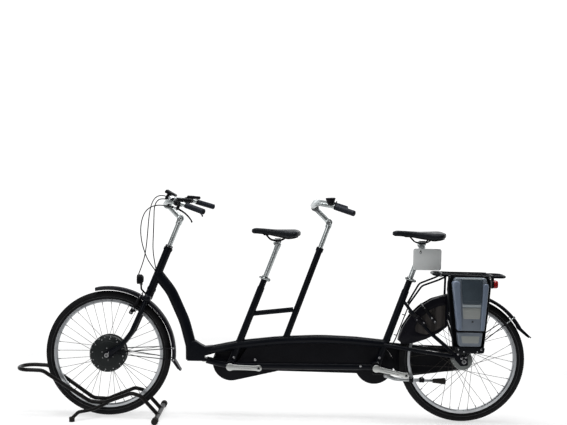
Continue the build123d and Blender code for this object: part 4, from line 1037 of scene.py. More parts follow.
# ------------------------------------------------------------------ levers, switches, bells, display
def levers():
    m = Mesh()
    for s in (1, -1):
        a, b = seg_pt(CAP, 1, 0.88, s), seg_pt(CAP, 2, 0.02, s)
        m.cyl(a, b, 14.6, 28, 0, 1.2)
        perch0 = a + np.array((2.0, 0, -6))
        perch = np.array((1466, s * 232, 1098.0))
        m.sweep(spline([perch0, (perch0 + perch) / 2 + (0, 0, -4), perch], 6), [8.6] * 6 + [8.4] * 6 + [7.6], 16, 0, flat=(0.85, 1.1))
        m.cyl(perch + np.array((0, 0, 8.5)), perch + np.array((0, 0, -8.5)), 6.2, 18, 1, 0.8)
        m.bolt(perch + np.array((0, 0, 8.3)), (0, 0, 1), 3.2, 1.8, mat=2, dark=0)
        pts = spline([(1468, s * 231, 1099), (1446, s * 246, 1088), (1425, s * 259, 1076), (1405, s * 274, 1059),
                      (1392, s * 283, 1044), (1387, s * 286, 1034)], 8)
        n = len(pts)
        rr = [5.6 - 1.8 * (i / n) ** 0.6 + (1.1 if i > n - 5 else 0) for i in range(n)]
        m.sweep(pts, rr, 16, 1, flat=(1.0, 0.72))
        # adjuster barrel and its ribbed ring, in line with the cable
        e = np.array((1500, s * 209, 1106.0))
        d = unit(e - perch)
        m.cyl(perch + d * 4, e - d * 6, 4.6, 16, 2, 0.5)
        for k in range(5):
            m.ring_of([(k * 2.2, 4.4), (k * 2.2 + 0.5, 5.8), (k * 2.2 + 1.3, 5.8), (k * 2.2 + 1.8, 4.4)], e - d * 18, d, 18, 0)
        m.cyl(e - d * 7, e + d * 0.0, 3.4, 14, 0, 0.4)
    o = m.obj("brake_lever_pair", [M["plastic"], M["guard"], M["steel"]], "steering", "plastic_black", 36)
    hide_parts("brake_levers")


levers()


def rot_y(deg):
    a = math.radians(deg)
    return np.array(((math.cos(a), 0, math.sin(a)), (0, 1, 0), (-math.sin(a), 0, math.cos(a))))


def display():
    m = Mesh()
    R = rot_y(-29.5)
    c = np.array((1526.5, 0, 1163.3))

    def wedge(q):
        # thick towards the front, thin towards the rider
        k = 0.66 + 0.34 * (q[0] + 31) / 62
        return (q[0], q[1] * (0.90 + 0.10 * k), 9.8 - (9.8 - q[2]) * k)
    m.rbox(c, (61.4, 67, 19.6), 6.5, R, 0, 5, wedge)
    up = R @ np.array((0, 0, 1.0))
    m.rbox(c + up * 8.7 + R @ np.array((5, 0, 0)), (40, 52, 2.0), 0.9, R, 1, 3)
    for dx, dy in ((-23, -16), (-23, 0), (-23, 16)):
        m.rbox(c + up * 8.6 + R @ np.array((dx, dy, 0)), (8, 12, 2.2), 1.0, R, 2, 2)
    m.rbox((1541, 0, 1148), (19, 62, 31), 5.5, R, 0, 4)
    m.cyl((1543, 28, 1112), (1543, 42, 1112), 15.4, 32, 0, 1.2)
    m.sweep(spline([(1543, 33, 1124), (1541, 31, 1136), (1539, 28, 1149)], 6), 6.6, 16, 0)
    m.bolt((1530, 35, 1103), (-1, 0, -0.6), 3.0, 2.0, mat=3, dark=0)
    o = m.obj("display_unit", [M["plastic"], M["screen"], M["guard"], M["steel"]], "steering", "plastic_black", 40)
    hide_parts("display")

display()


def switches():
    m = Mesh()
    for s in (1, -1):
        a, b, c = seg_pt(CAP, 1, 0.62, s), seg_pt(CAP, 1, 0.84, s), seg_pt(CAP, 1, 0.74, s)
        m.cyl(a, b, 15.2, 30, 0, 1.4)
        d = unit(b - a)
        for k in range(3):
            m.ring_of([(k * 3.0, 15.0), (k * 3.0 + 0.6, 15.7), (k * 3.0 + 1.6, 15.7), (k * 3.0 + 2.2, 15.0)], b - d * 12, d, 30, 1)
        R = rot_y(-4)
        top = np.array((c[0] - 35, c[1] - 2, c[2] + 15))
        m.rbox(top, (73, 29, 16.4), 6.0, R, 0, 5, lambda q: (q[0], q[1] * (0.80 + 0.20 * (q[0] + 37) / 74), q[2]))
        m.rbox(top + np.array((34, 0, -6)), (16, 22, 16), 4.0, R, 0, 3)
        if s > 0:
            for k, w in ((-24, 10), (-9, 13), (7, 10)):
                m.rbox(top + R @ np.array((k, 0, 7.9)), (w, 13, 2.6), 1.2, R, 1, 3)
            m.rbox(top + R @ np.array((-31, -13, 0)), (12, 6, 9), 2.4, R, 1, 3)
        else:
            m.rbox(top + R @ np.array((4, 0, 7.8)), (28, 16, 2.6), 1.2, R, 2, 3)
            m.rbox(top + R @ np.array((4, -3, 9.0)), (3, 8, 1.2), 0.5, R, 1, 1)
    o = m.obj("switch_pods", [M["plastic"], M["guard"], M["screen"]], "steering", "plastic_black", 40)
    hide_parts("bar_switches")


switches()


def dome_bell(name, at, up, r, body, dome, slot, node=None, cup=False):
    """Domed bell with its striker on a band clamp; at is on the bar's axis."""
    at, up = np.array(at, float), unit(up)
    m = Mesh()
    b = at + up * 17
    prof = [(0, r * 0.99), (0.8, r), (3.0, r)]
    for i in range(1, 10):
        t = math.pi / 2 * i / 9
        prof.append((3.0 + r * 0.72 * math.sin(t), max(0.4, r * math.cos(t))))
    if cup:
        # tall cup with a turning cap on top
        b = at + up * 15
        prof = [(0.8, 17.0), (3, 18.2), (9, 20.6), (15, 22.6), (17.4, 23.4), (17.8, 22.6), (18.6, 22.6), (19.0, 24.2), (23, 24.4),
                (25.4, 22.4), (26.2, 17.0), (25.6, 12.0), (25.9, 6.0), (26.0, 0.5)]
        m.lathe([(0.0, 15.0)] + prof, b, up, 48, 0)
        for q in range(24):
            g = TAU * q / 24
            c_, s_ = side_of(up, (1, 0, 0))
            d_ = c_ * math.cos(g) + s_ * math.sin(g)
            m.sweep([b + up * 19.6 + d_ * 24.0, b + up * 22.6 + d_ * 24.2], 0.8, 6, 0)
    else:
        m.lathe([(0.0, r * 0.9)] + prof, b, up, 44, 0)
    if not cup:
        m.lathe([(3.0 + r * 0.72 - 0.4, 3.4), (3.0 + r * 0.72 + 1.0, 3.0), (3.0 + r * 0.72 + 1.6, 1.6)], b, up, 16, 0)
    m.lathe([(-4.5, r * 0.62), (0.2, r * 0.9), (0.6, r * 0.9)], b, up, 32, 1)
    m.cyl(at + up * 8, at + up * 15, 7.0, 20, 1, 0.8)
    u, w = side_of(up, (1, 0, 0))
    m.sweep(spline([b - up * 2 - u * r * 0.6, b - up * 1.0 - u * (r + 3), b + up * 4 - u * (r + 7)], 6), 2.0, 10, 1)
    m.rbox(b + up * 5 - u * (r + 7.5), (7, 7, 7), 3.2, mat=1, n=3)
    o = m.obj(name, [dome, M["plastic"]], body, slot, 45)
    if node:
        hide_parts(node)


bell_at = seg_pt(STK, 1, 0.92)
dome_bell("stoker_bell", bell_at + np.array((2.0, 0, 0)), (0.05, 0, 1), 22.0, "frame", M["guard"], "plastic_black", "bell", True)
dome_bell("captain_bell", seg_pt(CAP, 1, 0.34), (-0.1, 0.1, 1), 17.5, "steering", M["mirror"], "alu_silver")


# ------------------------------------------------------------------ more helpers
def boolean(o, cutters):
    """Cuts meshes out of o and applies the result."""
    for i, c in enumerate(cutters):
        me = bpy.data.meshes.new("cut")
        me.from_pydata([P(*p) for p in c.v], [], c.f)
        bm = bmesh.new()
        bm.from_mesh(me)
        big = [f for f in bm.faces if len(f.verts) > 4]
        if big:
            bmesh.ops.triangulate(bm, faces=big)
        bmesh.ops.recalc_face_normals(bm, faces=bm.faces)
        for f in bm.faces:
            f.smooth = True
        bm.to_mesh(me)
        bm.free()
        for mt in o.data.materials:
            me.materials.append(mt)
        co = bpy.data.objects.new("cutter", me)
        bpy.context.scene.collection.objects.link(co)
        md = o.modifiers.new("b%d" % i, "BOOLEAN")
        md.operation = "DIFFERENCE"
        md.solver = "EXACT"
        md.object = co
        bpy.context.view_layer.update()
        dg = bpy.context.evaluated_depsgraph_get()
        new = bpy.data.meshes.new_from_object(o.evaluated_get(dg))
        o.modifiers.clear()
        o.data = new
        bpy.data.objects.remove(co)
    bm = bmesh.new()
    bm.from_mesh(o.data)
    for f in bm.faces:
        f.smooth = True
    for e in bm.edges:
        e.smooth = len(e.link_faces) != 2 or e.calc_face_angle(0.0) < 0.6
    bm.to_mesh(o.data)
    bm.free()


def weld(m, p, d, ra, q, e, rb, r=2.0, mat=0, n=40, start=400.0):
    """Bead where a tube (p, d, ra) running along d meets a tube (q, e, rb)."""
    p, q, d, e = np.array(p, float), np.array(q, float), unit(d), unit(e)
    u, w = side_of(d, (0, 1, 0))
    loop = []
    for i in range(n):
        t = TAU * i / n
        o = p + ra * (u * math.cos(t) + w * math.sin(t)) - d * start
        a = o - q
        av, dv = a - e * a.dot(e), d - e * d.dot(e)
        A, B, C = dv.dot(dv), 2 * av.dot(dv), av.dot(av) - rb * rb
        disc = B * B - 4 * A * C
        s = (-B - math.sqrt(disc)) / (2 * A) if disc > 0 else -B / (2 * A)
        loop.append(o + d * s)
    k = len(loop)
    rings_ = []
    for i in range(k):
        tan = unit(loop[(i + 1) % k] - loop[i - 1])
        c = sum(loop) / k
        out = unit(loop[i] - c - tan * (loop[i] - c).dot(tan))
        up = np.cross(tan, out)
        rip = 1.0 + 0.10 * (i % 2)
        rings_.append([loop[i] + r * rip * (out * math.cos(a) + up * math.sin(a)) for a in np.linspace(0, TAU, 10, endpoint=False)])
    m.rings(rings_, mat, closed=True)


def lin(a, b, t):
    return np.array(a, float) + (np.array(b, float) - np.array(a, float)) * t


# ------------------------------------------------------------------ frame joints, bolts and trim
def frame_trim():
    m = Mesh()
    # weld beads
    up = ((740, 0, 420), (960, 0, 408))
    mast = (np.array((926, 0, 400.0)), np.array((748, 0, 893.0)))
    stf = (np.array((1203, 0, 281.0)), np.array((1031, 0, 737.0)))
    str_ = (np.array((441, 0, 286.0)), np.array((276, 0, 745.0)))
    weld(m, mast[0], mast[0] - mast[1], 16.5, (926, 0, 410), (-1, 0, 0.055), 22.5)
    weld(m, (1158, 0, 400), stf[0] - stf[1], 19.0, (1160, 0, 384.0), (-1, 0, 0.16), 22.5)
    weld(m, (402, 0, 395), str_[0] - str_[1], 19.0, (398, 0, 399.0), (1, 0, 0.09), 22.5)
    weld(m, (1088, 0, 547), (1088 - 882, 0, 547 - 571), 13.0, stf[0], stf[1] - stf[0], 19.0, 1.8)
    weld(m, (882, 0, 571), (882 - 1088, 0, 571 - 547), 13.0, mast[0], mast[1] - mast[0], 16.5, 1.8)
    weld(m, (1592, 0, 748), (74, 0, 93), 24.5, steer(770), STEER_AX, 21.0, 0.8)
    for s in (1, -1):
        weld(m, (306, s * 13, 622), (306 - 252, s * (13 - 42), 622 - 553), 8.0, str_[0], str_[1] - str_[0], 19.0, 1.6, start=120)
    # rings round the bearing cups and the tube collars
    for z0, dz, r in ((659.6, 3.0, 23.9), (667.4, 1.6, 22.6), (871.6, 1.6, 22.6), (876.5, 3.4, 23.9)):
        m.ring_of([(0, r - 1.4), (0.3, r), (dz - 0.3, r), (dz, r - 1.4)], steer(z0), STEER_AX, 56, 0)
    for (bx, bz), (tx, tz), r in (((1203, 281), (1031, 737), 19.0), ((441, 286), (276, 745), 19.0)):
        d = unit((tx - bx, 0, tz - bz))
        top = np.array((tx, 0, tz), float)
        m.ring_of([(0, r - 1), (0.4, r + 0.7), (2.2, r + 0.7), (2.6, r - 1)], top - d * 15, d, 56, 0)
        m.ring_of([(0, 14.2), (0, r - 1), (0.8, r + 0.2), (1.8, r + 0.2), (2.4, r - 1), (2.4, 14.2)], top + d * 0.8, d, 56, 1)
    m.obj("weld_beads_and_collars", [M["frame"], M["plastic"]], "frame", "frame_black", 50)

    b = Mesh()
    for x, z, y in ((1076, 319, 18.5), (527, 292, 18.5), (461, 301, 22.0), (438, 315, 22.0), (1186, 330, 20.0), (430, 342, 22.0)):
        for s in (1, -1):
            b.bolt((x, s * y, z - 12 if abs(x - 527) > 60 else z - 8), (0, s, 0), 4.6, 3.0, "hex", 0, 1)
    for x in (1080, 1000, 900, 800, 700, 600, 500):
        zt = float(np.interp(x, [420, 560, 740, 960, 1160], [398, 411, 417, 405, 384])) - 31
        for s in (1, -1):
            b.bolt((x, s * 3.0, zt), (0, s, 0), 4.2, 1.8, "socket", 1, 1)
            b.bolt((x, s * 3.0, float(np.interp(x, [440, 1180], [306, 300]))), (0, s, 0), 4.2, 1.8, "socket", 1, 1)
    # bottom bracket rims
    for (bx, bz) in ((1203, 281), (451, 286)):
        for s in (1, -1):
            b.ring_of([(0, 20.5), (0, 21.6), (1.8, 21.9), (3.0, 20.6), (3.4, 15.5), (2.6, 9.2), (0, 9.2)], (bx, s * 38, bz), (0, s, 0), 48, 1)
            for k in range(8):
                t = TAU * k / 8
                b.rbox((bx + 18.2 * math.cos(t), s * 41.2, bz + 18.2 * math.sin(t)), (2.6, 1.2, 2.6), 0.5, rot_y(math.degrees(-t)), 1, 1)
    # dropout and guard-stay bolts
    for s in (1, -1):
        b.bolt((30, s * 69, 366), (0, s, 0), 4.4, 3.4, "hex", 0, 1)
        b.bolt((8, s * 69, 350), (0, s, 0), 4.0, 3.0, "socket", 0, 1)
        b.bolt((-8, s * 75.0, 350.5), (0, s, 0), 4.0, 3.0, "hex", 0, 1)
        b.bolt((14, s * 79.0, 345), (0, s, 0), 4.4, 3.2, "hex", 0, 1)
    b.obj("frame_bolts", [M["steel"], M["plastic"]], "frame", "axle_steel", 34)


frame_trim()


def seat_tube_cables():
    """Two cables clipped behind the rear seat tube, ending inside the frame."""
    m = Mesh()
    for y in (13.5, 19.0):
        m.sweep(spline([(281, y, 612), (300, y, 560), (330, y, 480), (350, y, 426), (366, y - 2, 399)], 14), 2.7, 12, 0)
    for x, z in ((302, 555), (342, 448)):
        m.rbox((x, 16.2, z), (9, 14, 6), 2.2, rot_y(-70), 1, 3)
        m.sweep([(x, 14, z), (x + 14, 10, z + 3)], 2.4, 10, 1)
    m.obj("seat_tube_cables", [M["cable"], M["plastic"]], "frame", "cable_black", 44)
    r = Mesh()
    d = unit((748 - 926, 0, 893 - 400))
    top = np.array((748, 0, 893.0))
    r.ring_of([(-1.0, 13.0), (-1.0, 16.9), (-0.4, 17.6), (2.6, 17.6), (3.4, 16.6), (3.6, 13.0)], top, d, 48, 0)
    r.obj("mast_top_ring", [M["alu"]], "frame", "alu_silver", 44)


seat_tube_cables()


def seat_levers():
    """Quick-release collars under each saddle."""
    m = Mesh()
    for (bx, bz), (tx, tz) in (((1203, 281), (1031, 737)), ((441, 286), (276, 745))):
        d = unit((tx - bx, 0, tz - bz))
        c = np.array((tx, 0, tz), float) - d * 5.0
        n = np.array((-d[2], 0, d[0])) * -1      # towards the front, square to the tube
        if n[0] < 0:
            n = -n
        m.ring_of([(-5.5, 19.2), (-5.5, 20.2), (-4.6, 21.0), (4.6, 21.0), (5.5, 20.2), (5.5, 19.2)], c, d, 56, 0)
        lug = c - n * 24.0
        m.rbox(lug, (12, 17, 12), 2.4, None, 0, 3)
        m.cyl(lug + (0, -19, 0), lug + (0, 20, 0), 2.6, 14, 2)
        m.lathe([(0, 4.8), (1, 6.2), (4.6, 6.2), (6, 4.6)], lug + np.array((0, -13, 0)), (0, -1, 0), 20, 1)
        m.lathe([(0, 6.6), (1, 7.2), (6, 7.2), (7.2, 5.8)], lug + np.array((0, 10, 0)), (0, 1, 0), 24, 0)
        arm = spline([lug + np.array((0, 16, 0)), lug + n * 12 + np.array((0, 24.5, 1)), lug + n * 32 + np.array((0, 25.5, 0)), lug + n * 52 + np.array((0, 21.0, -2))], 9)
        k = len(arm)
        m.sweep(arm, [4.6 - 0.8 * i / k + (0.9 if i > k - 8 else 0) for i in range(k)], 14, 0, flat=(1.15, 0.7))
        m.sweep(arm[-8:], 4.5, 14, 1, flat=(1.2, 0.75))
    m.obj("seat_quick_releases", [M["alu"], M["plastic"], M["steel"]], "frame", "alu_silver", 40)


seat_levers()


def stem_trim(name, elbow, bar, body, top_of_quill, axis):
    """Angle-joint caps, clamp gap and screws of one adjustable stem."""
    m = Mesh()
    e, b = np.array(elbow, float), np.array(bar, float)
    d = unit(b - e)
    for s in (1, -1):
        a = (0, s, 0)
        m.lathe([(0, 17.0), (0.8, 16.6), (1.8, 14.5), (2.2, 10.0), (1.2, 8.6), (1.2, 5.6)], e + (0, s * 18.6, 0), a, 36, 0)
        m.bolt(e + (0, s * 19.4, 0), a, 5.4, 3.0, mat=2, dark=1)
        for k in range(20):
            t = TAU * k / 20
            m.rbox(e + np.array((16.4 * math.cos(t), s * 18.0, 16.4 * math.sin(t))), (2.2, 1.6, 1.2), 0.4, rot_y(math.degrees(-t)), 0, 1)
    n = np.array((-d[2], 0, d[0]))
    for s in (1, -1):
        # clamp split line and two screws
        m.rbox(b + d * 0 + n * 18.6 + np.array((0, s * 12, 0)), (10, 9, 5), 2.0, None, 0, 3)
        m.bolt(b + n * 20.6 + np.array((0, s * 12, 0)), n, 3.6, 2.4, mat=2, dark=1)
        m.bolt(b - n * 18.0 + np.array((0, s * 12, 0)), -n, 3.6, 2.4, mat=2, dark=1)
        m.ring_of([(0, 17.6), (0.4, 19.6), (2.6, 19.6), (3.0, 17.6)], b + np.array((0, s * 19, 0)), (0, s, 0), 48, 0)
    # ring at the top of the quill, and height marks
    q, ax = np.array(top_of_quill, float), unit(axis)
    m.ring_of([(0, 12.6), (0.4, 14.2), (3.0, 14.2), (3.4, 12.6)], q, ax, 40, 0)
    for k in range(5):
        m.ring_of([(0, 12.5), (0.15, 12.86), (0.5, 12.86), (0.65, 12.5)], q - ax * (60 + k * 9), ax, 40, 1)
    m.obj(name, [M["alu"], M["plastic"], M["steel"]], body, "alu_silver", 36)


stem_trim("captain_stem_trim", (1581 + (768 - 1036) * 0.396, 0, 1036), (1543, 0, 1106), "steering", steer(1003), STEER_AX)
stem_trim("stoker_stem_trim", (705, 0, 1030), (779, 0, 1105), "frame", lin((754, 0, 877), (707, 0, 1008), 0.93), (707 - 754, 0, 1008 - 877))


# ------------------------------------------------------------------ battery
def battery():
    m = Mesh()
    A, B, C, S, K, F, T = 0, 1, 2, 3, 4, 5, 6      # shell, dark panel, light trim, steel, black, fins, label field
    fr = ((0, 0, 0), (-1, 0, 0), (0, 0, 1))   # outline in -X, Z; height along +Y

    def pl(pts, y0, y1, edge, mat, steps=3):
        m.plate([(-x, z) for x, z in rounded(pts, 6)], fr, y0, y1, edge, mat, steps)
    # main block and the lower block, parted by a dark seam
    pl([(70, 766, 12), (-92, 766, 12), (-95, 728, 8), (-84, 498, 5), (50, 498, 5), (58, 600, 20)], 85, 140, 5.0, A)
    pl([(49, 489, 6), (-78, 489, 6), (-71, 417, 10), (40, 417, 10)], 85, 141, 6.0, A, 4)
    pl([(50, 500, 2), (-82, 500, 2), (-82, 487, 2), (50, 487, 2)], 86, 134, 1.0, K)
    # side fins, full and rounded, wider at the top
    pl([(82, 752, 19), (42, 752, 19), (27, 500, 5), (51, 500, 5)], 100, 149.4, 9.0, F, 6)
    pl([(-74, 740, 13), (-103, 740, 13), (-96, 640, 20), (-85, 500, 5), (-66, 500, 5)], 100, 149.0, 7.5, F, 6)
    # dark centre panel under the light strip
    pl([(38, 765, 5), (-71, 765, 5), (-67, 636, 9), (28, 636, 9)], 136, 145.6, 3.0, B, 4)
    pl([(31, 752, 7), (-65, 752, 7), (-61, 646, 9), (23, 646, 9)], 144.6, 146.8, 1.0, B, 2)
    pl([(36, 767.5, 2), (-70, 767.5, 2), (-69, 760, 2), (35, 760, 2)], 137, 147.4, 1.6, C, 2)
    # light band and the bare label field below it
    pl([(29, 633, 4), (-66, 633, 4), (-65, 619, 3), (27, 619, 3)], 138.6, 145.4, 1.8, C, 3)
    pl([(27, 616, 3), (-65, 616, 3), (-62, 560, 6), (22, 560, 6)], 139.4, 143.4, 0.9, T, 2)
    for k in range(4):
        m.rbox((-19, 143.5, 606 - k * 13), (78 - k * 3, 0.7, 1.2), 0.3, None, T, 1)
    # key lock
    m.lathe([(0, 7.0), (1.8, 6.8), (2.4, 6.0), (2.4, 4.4)], (-24, 140, 545), (0, 1, 0), 32, A)
    m.lathe([(0, 4.8), (2.2, 4.7), (2.6, 4.0)], (-24, 140, 545), (0, 1, 0), 24, K)
    m.rbox((-24, 142.8, 545), (1.2, 0.8, 6), 0.3, None, S, 1)
    # lower block's sunk field and side grips
    pl([(38, 480, 6), (-69, 480, 6), (-63, 427, 8), (31, 427, 8)], 140.0, 142.4, 0.9, A, 2)
    pl([(31, 472, 4), (-62, 472, 4), (-57, 436, 6), (25, 436, 6)], 141.6, 143.4, 0.7, T, 2)
    for s in (1, -1):
        for k in range(7):
            m.rbox((-17 + s * (61 - k * 0.9), 112, 480 - k * 8), (3, 30, 3.2), 1.0, None, A, 2)
    # folding handle across the top
    hp = spline([(66, 100, 757), (58, 100, 765), (0, 100, 767), (-72, 100, 767), (-88, 100, 758)], 8)
    m.sweep(hp, 4.6, 16, K, flat=(1.6, 0.5))
    ob = m.obj("battery_case", [M["battery"], M["battery_dark"], M["battery_light"], M["steel"], M["plastic"], M["battery_fin"], M["battery_label"]],
               "frame", "battery_silver", 32)
    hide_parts("battery_pack")
    h = Mesh()
    # holder: side lips, ribs, tray, docking screws
    for pts in ([(88, 762), (93, 700), (62, 420), (57, 400)], [(-112, 762), (-117, 700), (-92, 420), (-88, 400)]):
        line = [np.array((x, 92, z)) for x, z in pts]
        h.sweep(spline(line, 10), 5.4, 14, 0, flat=(1.0, 2.4))
    for k in range(8):
        h.rbox((46 - k * 18, 116, 393), (3.0, 50, 16), 1.2, None, 0, 2)
    h.rbox((-17, 114, 404), (136, 58, 13), 5.5, None, 0, 4)
    h.plate([(-x, z) for x, z in rounded([(60, 414, 4), (-90, 414, 4), (-84, 384, 14), (46, 384, 14)], 6)], fr, 136, 146, 3.0, 0, 3)
    for x, z in ((70, 700), (-98, 700), (44, 404), (-72, 404), (16, 393), (-52, 393)):
        h.bolt((x, 84.2 if z > 500 else 145.8, z), (0, 1, 0), 3.8, 2.2, mat=1, dark=0)
    for x, z in ((74, 700), (50, 470), (-98, 690), (-84, 470)):
        h.bolt((x, 72.3, z), (0, -1, 0), 4.0, 2.2, mat=1, dark=0)
    h.obj("battery_dock_trim", [M["holder"], M["steel"]], "frame", "holder_black", 36)

battery()


# ------------------------------------------------------------------ lights
def headlight():
    m = Mesh()
    loops, mats = [], []
    for x, hy, hz, p in ((1664, 9, 8, 2.4), (1664.6, 13, 12, 2.6), (1667, 18, 17, 2.8), (1672, 22, 21, 3.0), (1682, 25.4, 23.6, 3.2),
                         (1694, 26.8, 24.8, 3.4), (1700, 27.0, 25.0, 3.4), (1703, 26.4, 24.4, 3.4), (1704.5, 25.2, 23.2, 3.2),
                         (1703.6, 24.0, 22.2, 3.2), (1698, 21.0, 19.6, 3.0), (1690, 14, 13, 2.6), (1686, 6, 6, 2.2)):
        loop = []
        for j in range(56):
            t = TAU * j / 56
            c, s = math.cos(t), math.sin(t)
            loop.append((1664 + (x - 1664) * 0.80, hy * math.copysign(abs(c) ** (2 / p), c), 716 + hz * math.copysign(abs(s) ** (2 / p), s)))
        loops.append(loop)
        mats.append(0 if x < 1703.5 and len(loops) < 9 else 1)
    m.rings(loops, mats)
    # clear front
    fl = []
    for x, k in ((1701.5, 1.0), (1703.0, 0.99), (1705.4, 0.9), (1706.8, 0.7), (1707.6, 0.4), (1707.8, 0.1)):
        fl.append([(1664 + (x - 1664) * 0.80, 24.4 * k * math.copysign(abs(math.cos(TAU * j / 56)) ** 0.64, math.cos(TAU * j / 56)),
                    716 + 22.4 * k * math.copysign(abs(math.sin(TAU * j / 56)) ** 0.64, math.sin(TAU * j / 56))) for j in range(56)])
    m.rings(fl, 2)
    m.lathe([(0, 3.2), (5, 3.0), (7, 1.5)], (1682, 0, 716), (1, 0, 0), 16, 1)
    # fins on top, foot and bracket
    for k in range(4):
        m.rbox((1675 + k * 5, 0, 739.2), (2.2, 24, 2.6), 0.9, None, 0, 2)
    m.sweep(filleted([(1676, 0, 700), (1676, 0, 664), (1653, 0, 641)], [18], 3.0), 4.8, 16, 0, flat=(1.0, 1.0))
    m.rbox((1676, 0, 690), (14, 20, 10), 3.0, None, 0, 3)
    for s in (1, -1):
        m.bolt((1676, s * 9.8, 690), (0, s, 0), 3.2, 2.2, mat=3, dark=0)
    o = m.obj("headlight_unit", [M["plastic"], M["mirror"], M["clear"], M["steel"]], "steering", "light_black", 40)
    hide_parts("headlight")


headlight()


def tail_light():
    m = Mesh()

    def body(x0, x1, hy, hz, mat, bulge=0.0):
        loops = []
        xs = np.linspace(0, 1, 11)
        for q in xs:
            x = x0 + (x1 - x0) * q
            k = 1.0 - 0.16 * max(0.0, (q - 0.6) / 0.4) ** 2.2 - 0.10 * max(0.0, (0.15 - q) / 0.15) ** 2
            loops.append([(x - bulge * math.sin(q * math.pi / 2) * 0, hy * k * math.copysign(abs(math.cos(TAU * j / 64)) ** 0.55, math.cos(TAU * j / 64)),
                           722 + hz * k * math.copysign(abs(math.sin(TAU * j / 64)) ** 0.55, math.sin(TAU * j / 64))) for j in range(64)])
        m.rings(loops, mat)
    body(-141, -153, 36.5, 21.5, 0)
    body(-151, -174.6, 35.6, 20.8, 1)
    # round reflector in the middle of the lens, with ribs to either side
    for s in (1, -1):
        for k in range(7):
            m.rbox((-171.5, s * (15 + k * 2.6), 722), (4.5, 1.0, 29), 0.4, None, 1, 1)
    m.lathe([(0, 11), (1.4, 10.6), (2.0, 9.6)], (-172.8, 0, 722), (-1, 0, 0), 32, 1)
    for k in range(3):
        m.ring_of([(0, 3 + k * 2.6), (0.7, 3.6 + k * 2.6), (0, 4.2 + k * 2.6)], (-174.4, 0, 722), (-1, 0, 0), 24, 1)
    m.rbox((-150, 0, 752), (13, 29, 22), 2.5, None, 0, 3)
    for s in (1, -1):
        m.bolt((-143.4, s * 8, 752), (1, 0, 0), 3.2, 2.2, mat=2, dark=0)
    o = m.obj("tail_light_unit", [M["plastic"], M["red"], M["steel"]], "frame", "light_black", 40)
    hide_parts("tail_light")


tail_light()


# ------------------------------------------------------------------ coat guards
def coat_guards():
    outer = [(322, 404, 6), (330, 436, 10), (313, 492, 40), (276, 552, 60), (226, 602, 60), (164, 640, 60), (84, 664, 8),
             (84, 500, 10), (128, 466, 30), (196, 432, 40), (256, 412, 30)]
    inner = [(246, 470, 16), (250, 494, 18), (226, 540, 40), (178, 584, 40), (130, 606, 30), (96, 614, 6),
             (96, 508, 6), (132, 484, 26), (190, 456, 30)]
    m, g = Mesh(), Mesh()
    for s in (1, -1):
        y0, y1 = (30.0, 32.6) if s > 0 else (-32.6, -30.0)
        ou, inn = rounded(outer, 7), rounded(inner, 7)
        # rim: bridge the two outlines by angle about a point inside both
        c = np.array((170.0, 536.0))

        def ray_pts(poly, n=180):
            poly = [np.array(p) - c for p in poly]
            out = []
            for k in range(n):
                t = TAU * k / n
                d = np.array((math.cos(t), math.sin(t)))
                best = None
                for a, b in zip(poly, poly[1:] + poly[:1]):
                    e = b - a
                    den = d[0] * e[1] - d[1] * e[0]
                    if abs(den) < 1e-9:
                        continue
                    u = (a[0] * e[1] - a[1] * e[0]) / den
                    v = (a[0] * d[1] - a[1] * d[0]) / den
                    if u > 0 and -1e-6 <= v <= 1 + 1e-6 and (best is None or u > best):
                        best = u
                out.append(c + d * best)
            return out
        po, pi = ray_pts(ou), ray_pts(inn)
        e = 0.8
        prof = []
        for f, y in ((0.0, y0 + e), (0.012, y0), (0.5, y0 - 0.0), (0.985, y0), (1.0, y0 + e), (1.0, y1 - e), (0.985, y1),
                     (0.80, y1 + 0.0), (0.74, y1 + s * 0.9 if s > 0 else y1), (0.66, y1 + s * 0.9 if s > 0 else y1), (0.60, y1), (0.012, y1), (0.0, y1 - e)):
            prof.append((f, y))
        n = len(po)
        loops = []
        for k in range(n):
            loops.append([(po[k][0] * (1 - f) + pi[k][0] * f, y, po[k][1] * (1 - f) + pi[k][1] * f) for f, y in prof])
        m.rings(loops, 0, closed=True)
        # smoked panel; the rib count below is zero, so no ribs are drawn
        g.plate([(x, z) for x, z in inn], ((0, 0, 0), (1, 0, 0), (0, 0, 1)), -(y1 - 0.6), -(y0 + 0.6), 0.3, 0, 1)
        ribs = 0
        for k in range(ribs):
            x = 101 + k * 6.9
            zs = [p for p in pi]
            hit = []
            for a, b in zip(pi, pi[1:] + pi[:1]):
                if (a[0] - x) * (b[0] - x) < 0:
                    t = (x - a[0]) / (b[0] - a[0])
                    hit.append(a[1] + (b[1] - a[1]) * t)
            if len(hit) >= 2:
                lo, hi = min(hit) + 2.0, max(hit) - 2.0
                if hi - lo > 6:
                    g.rbox((x, (y1 if s > 0 else y0) + s * -0.3, (lo + hi) / 2), (1.6, 1.0, hi - lo), 0.45, None, 0, 1)
        # screws that hold the guard
        for x, z in ((300, 470), (214, 596), (100, 640), (300, 420)):
            m.bolt((x, s * 32.4, z), (0, s, 0), 4.0, 1.6, mat=1, dark=0)
    o = m.obj("coat_guard_rims", [M["guard"], M["plastic"]], "frame", "coat_grey", 40)
    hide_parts("coat_guards")
    o2 = g.obj("coat_guard_panels", [M["coat"]], "frame", "coat_grey", 40)
    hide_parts("coat_guards")


coat_guards()


# ------------------------------------------------------------------ ring lock and brakes
def around(cx, r, deg, y=0.0):
    a = math.radians(deg)
    return np.array((cx + r * math.sin(a), y, AX + r * math.cos(a)))


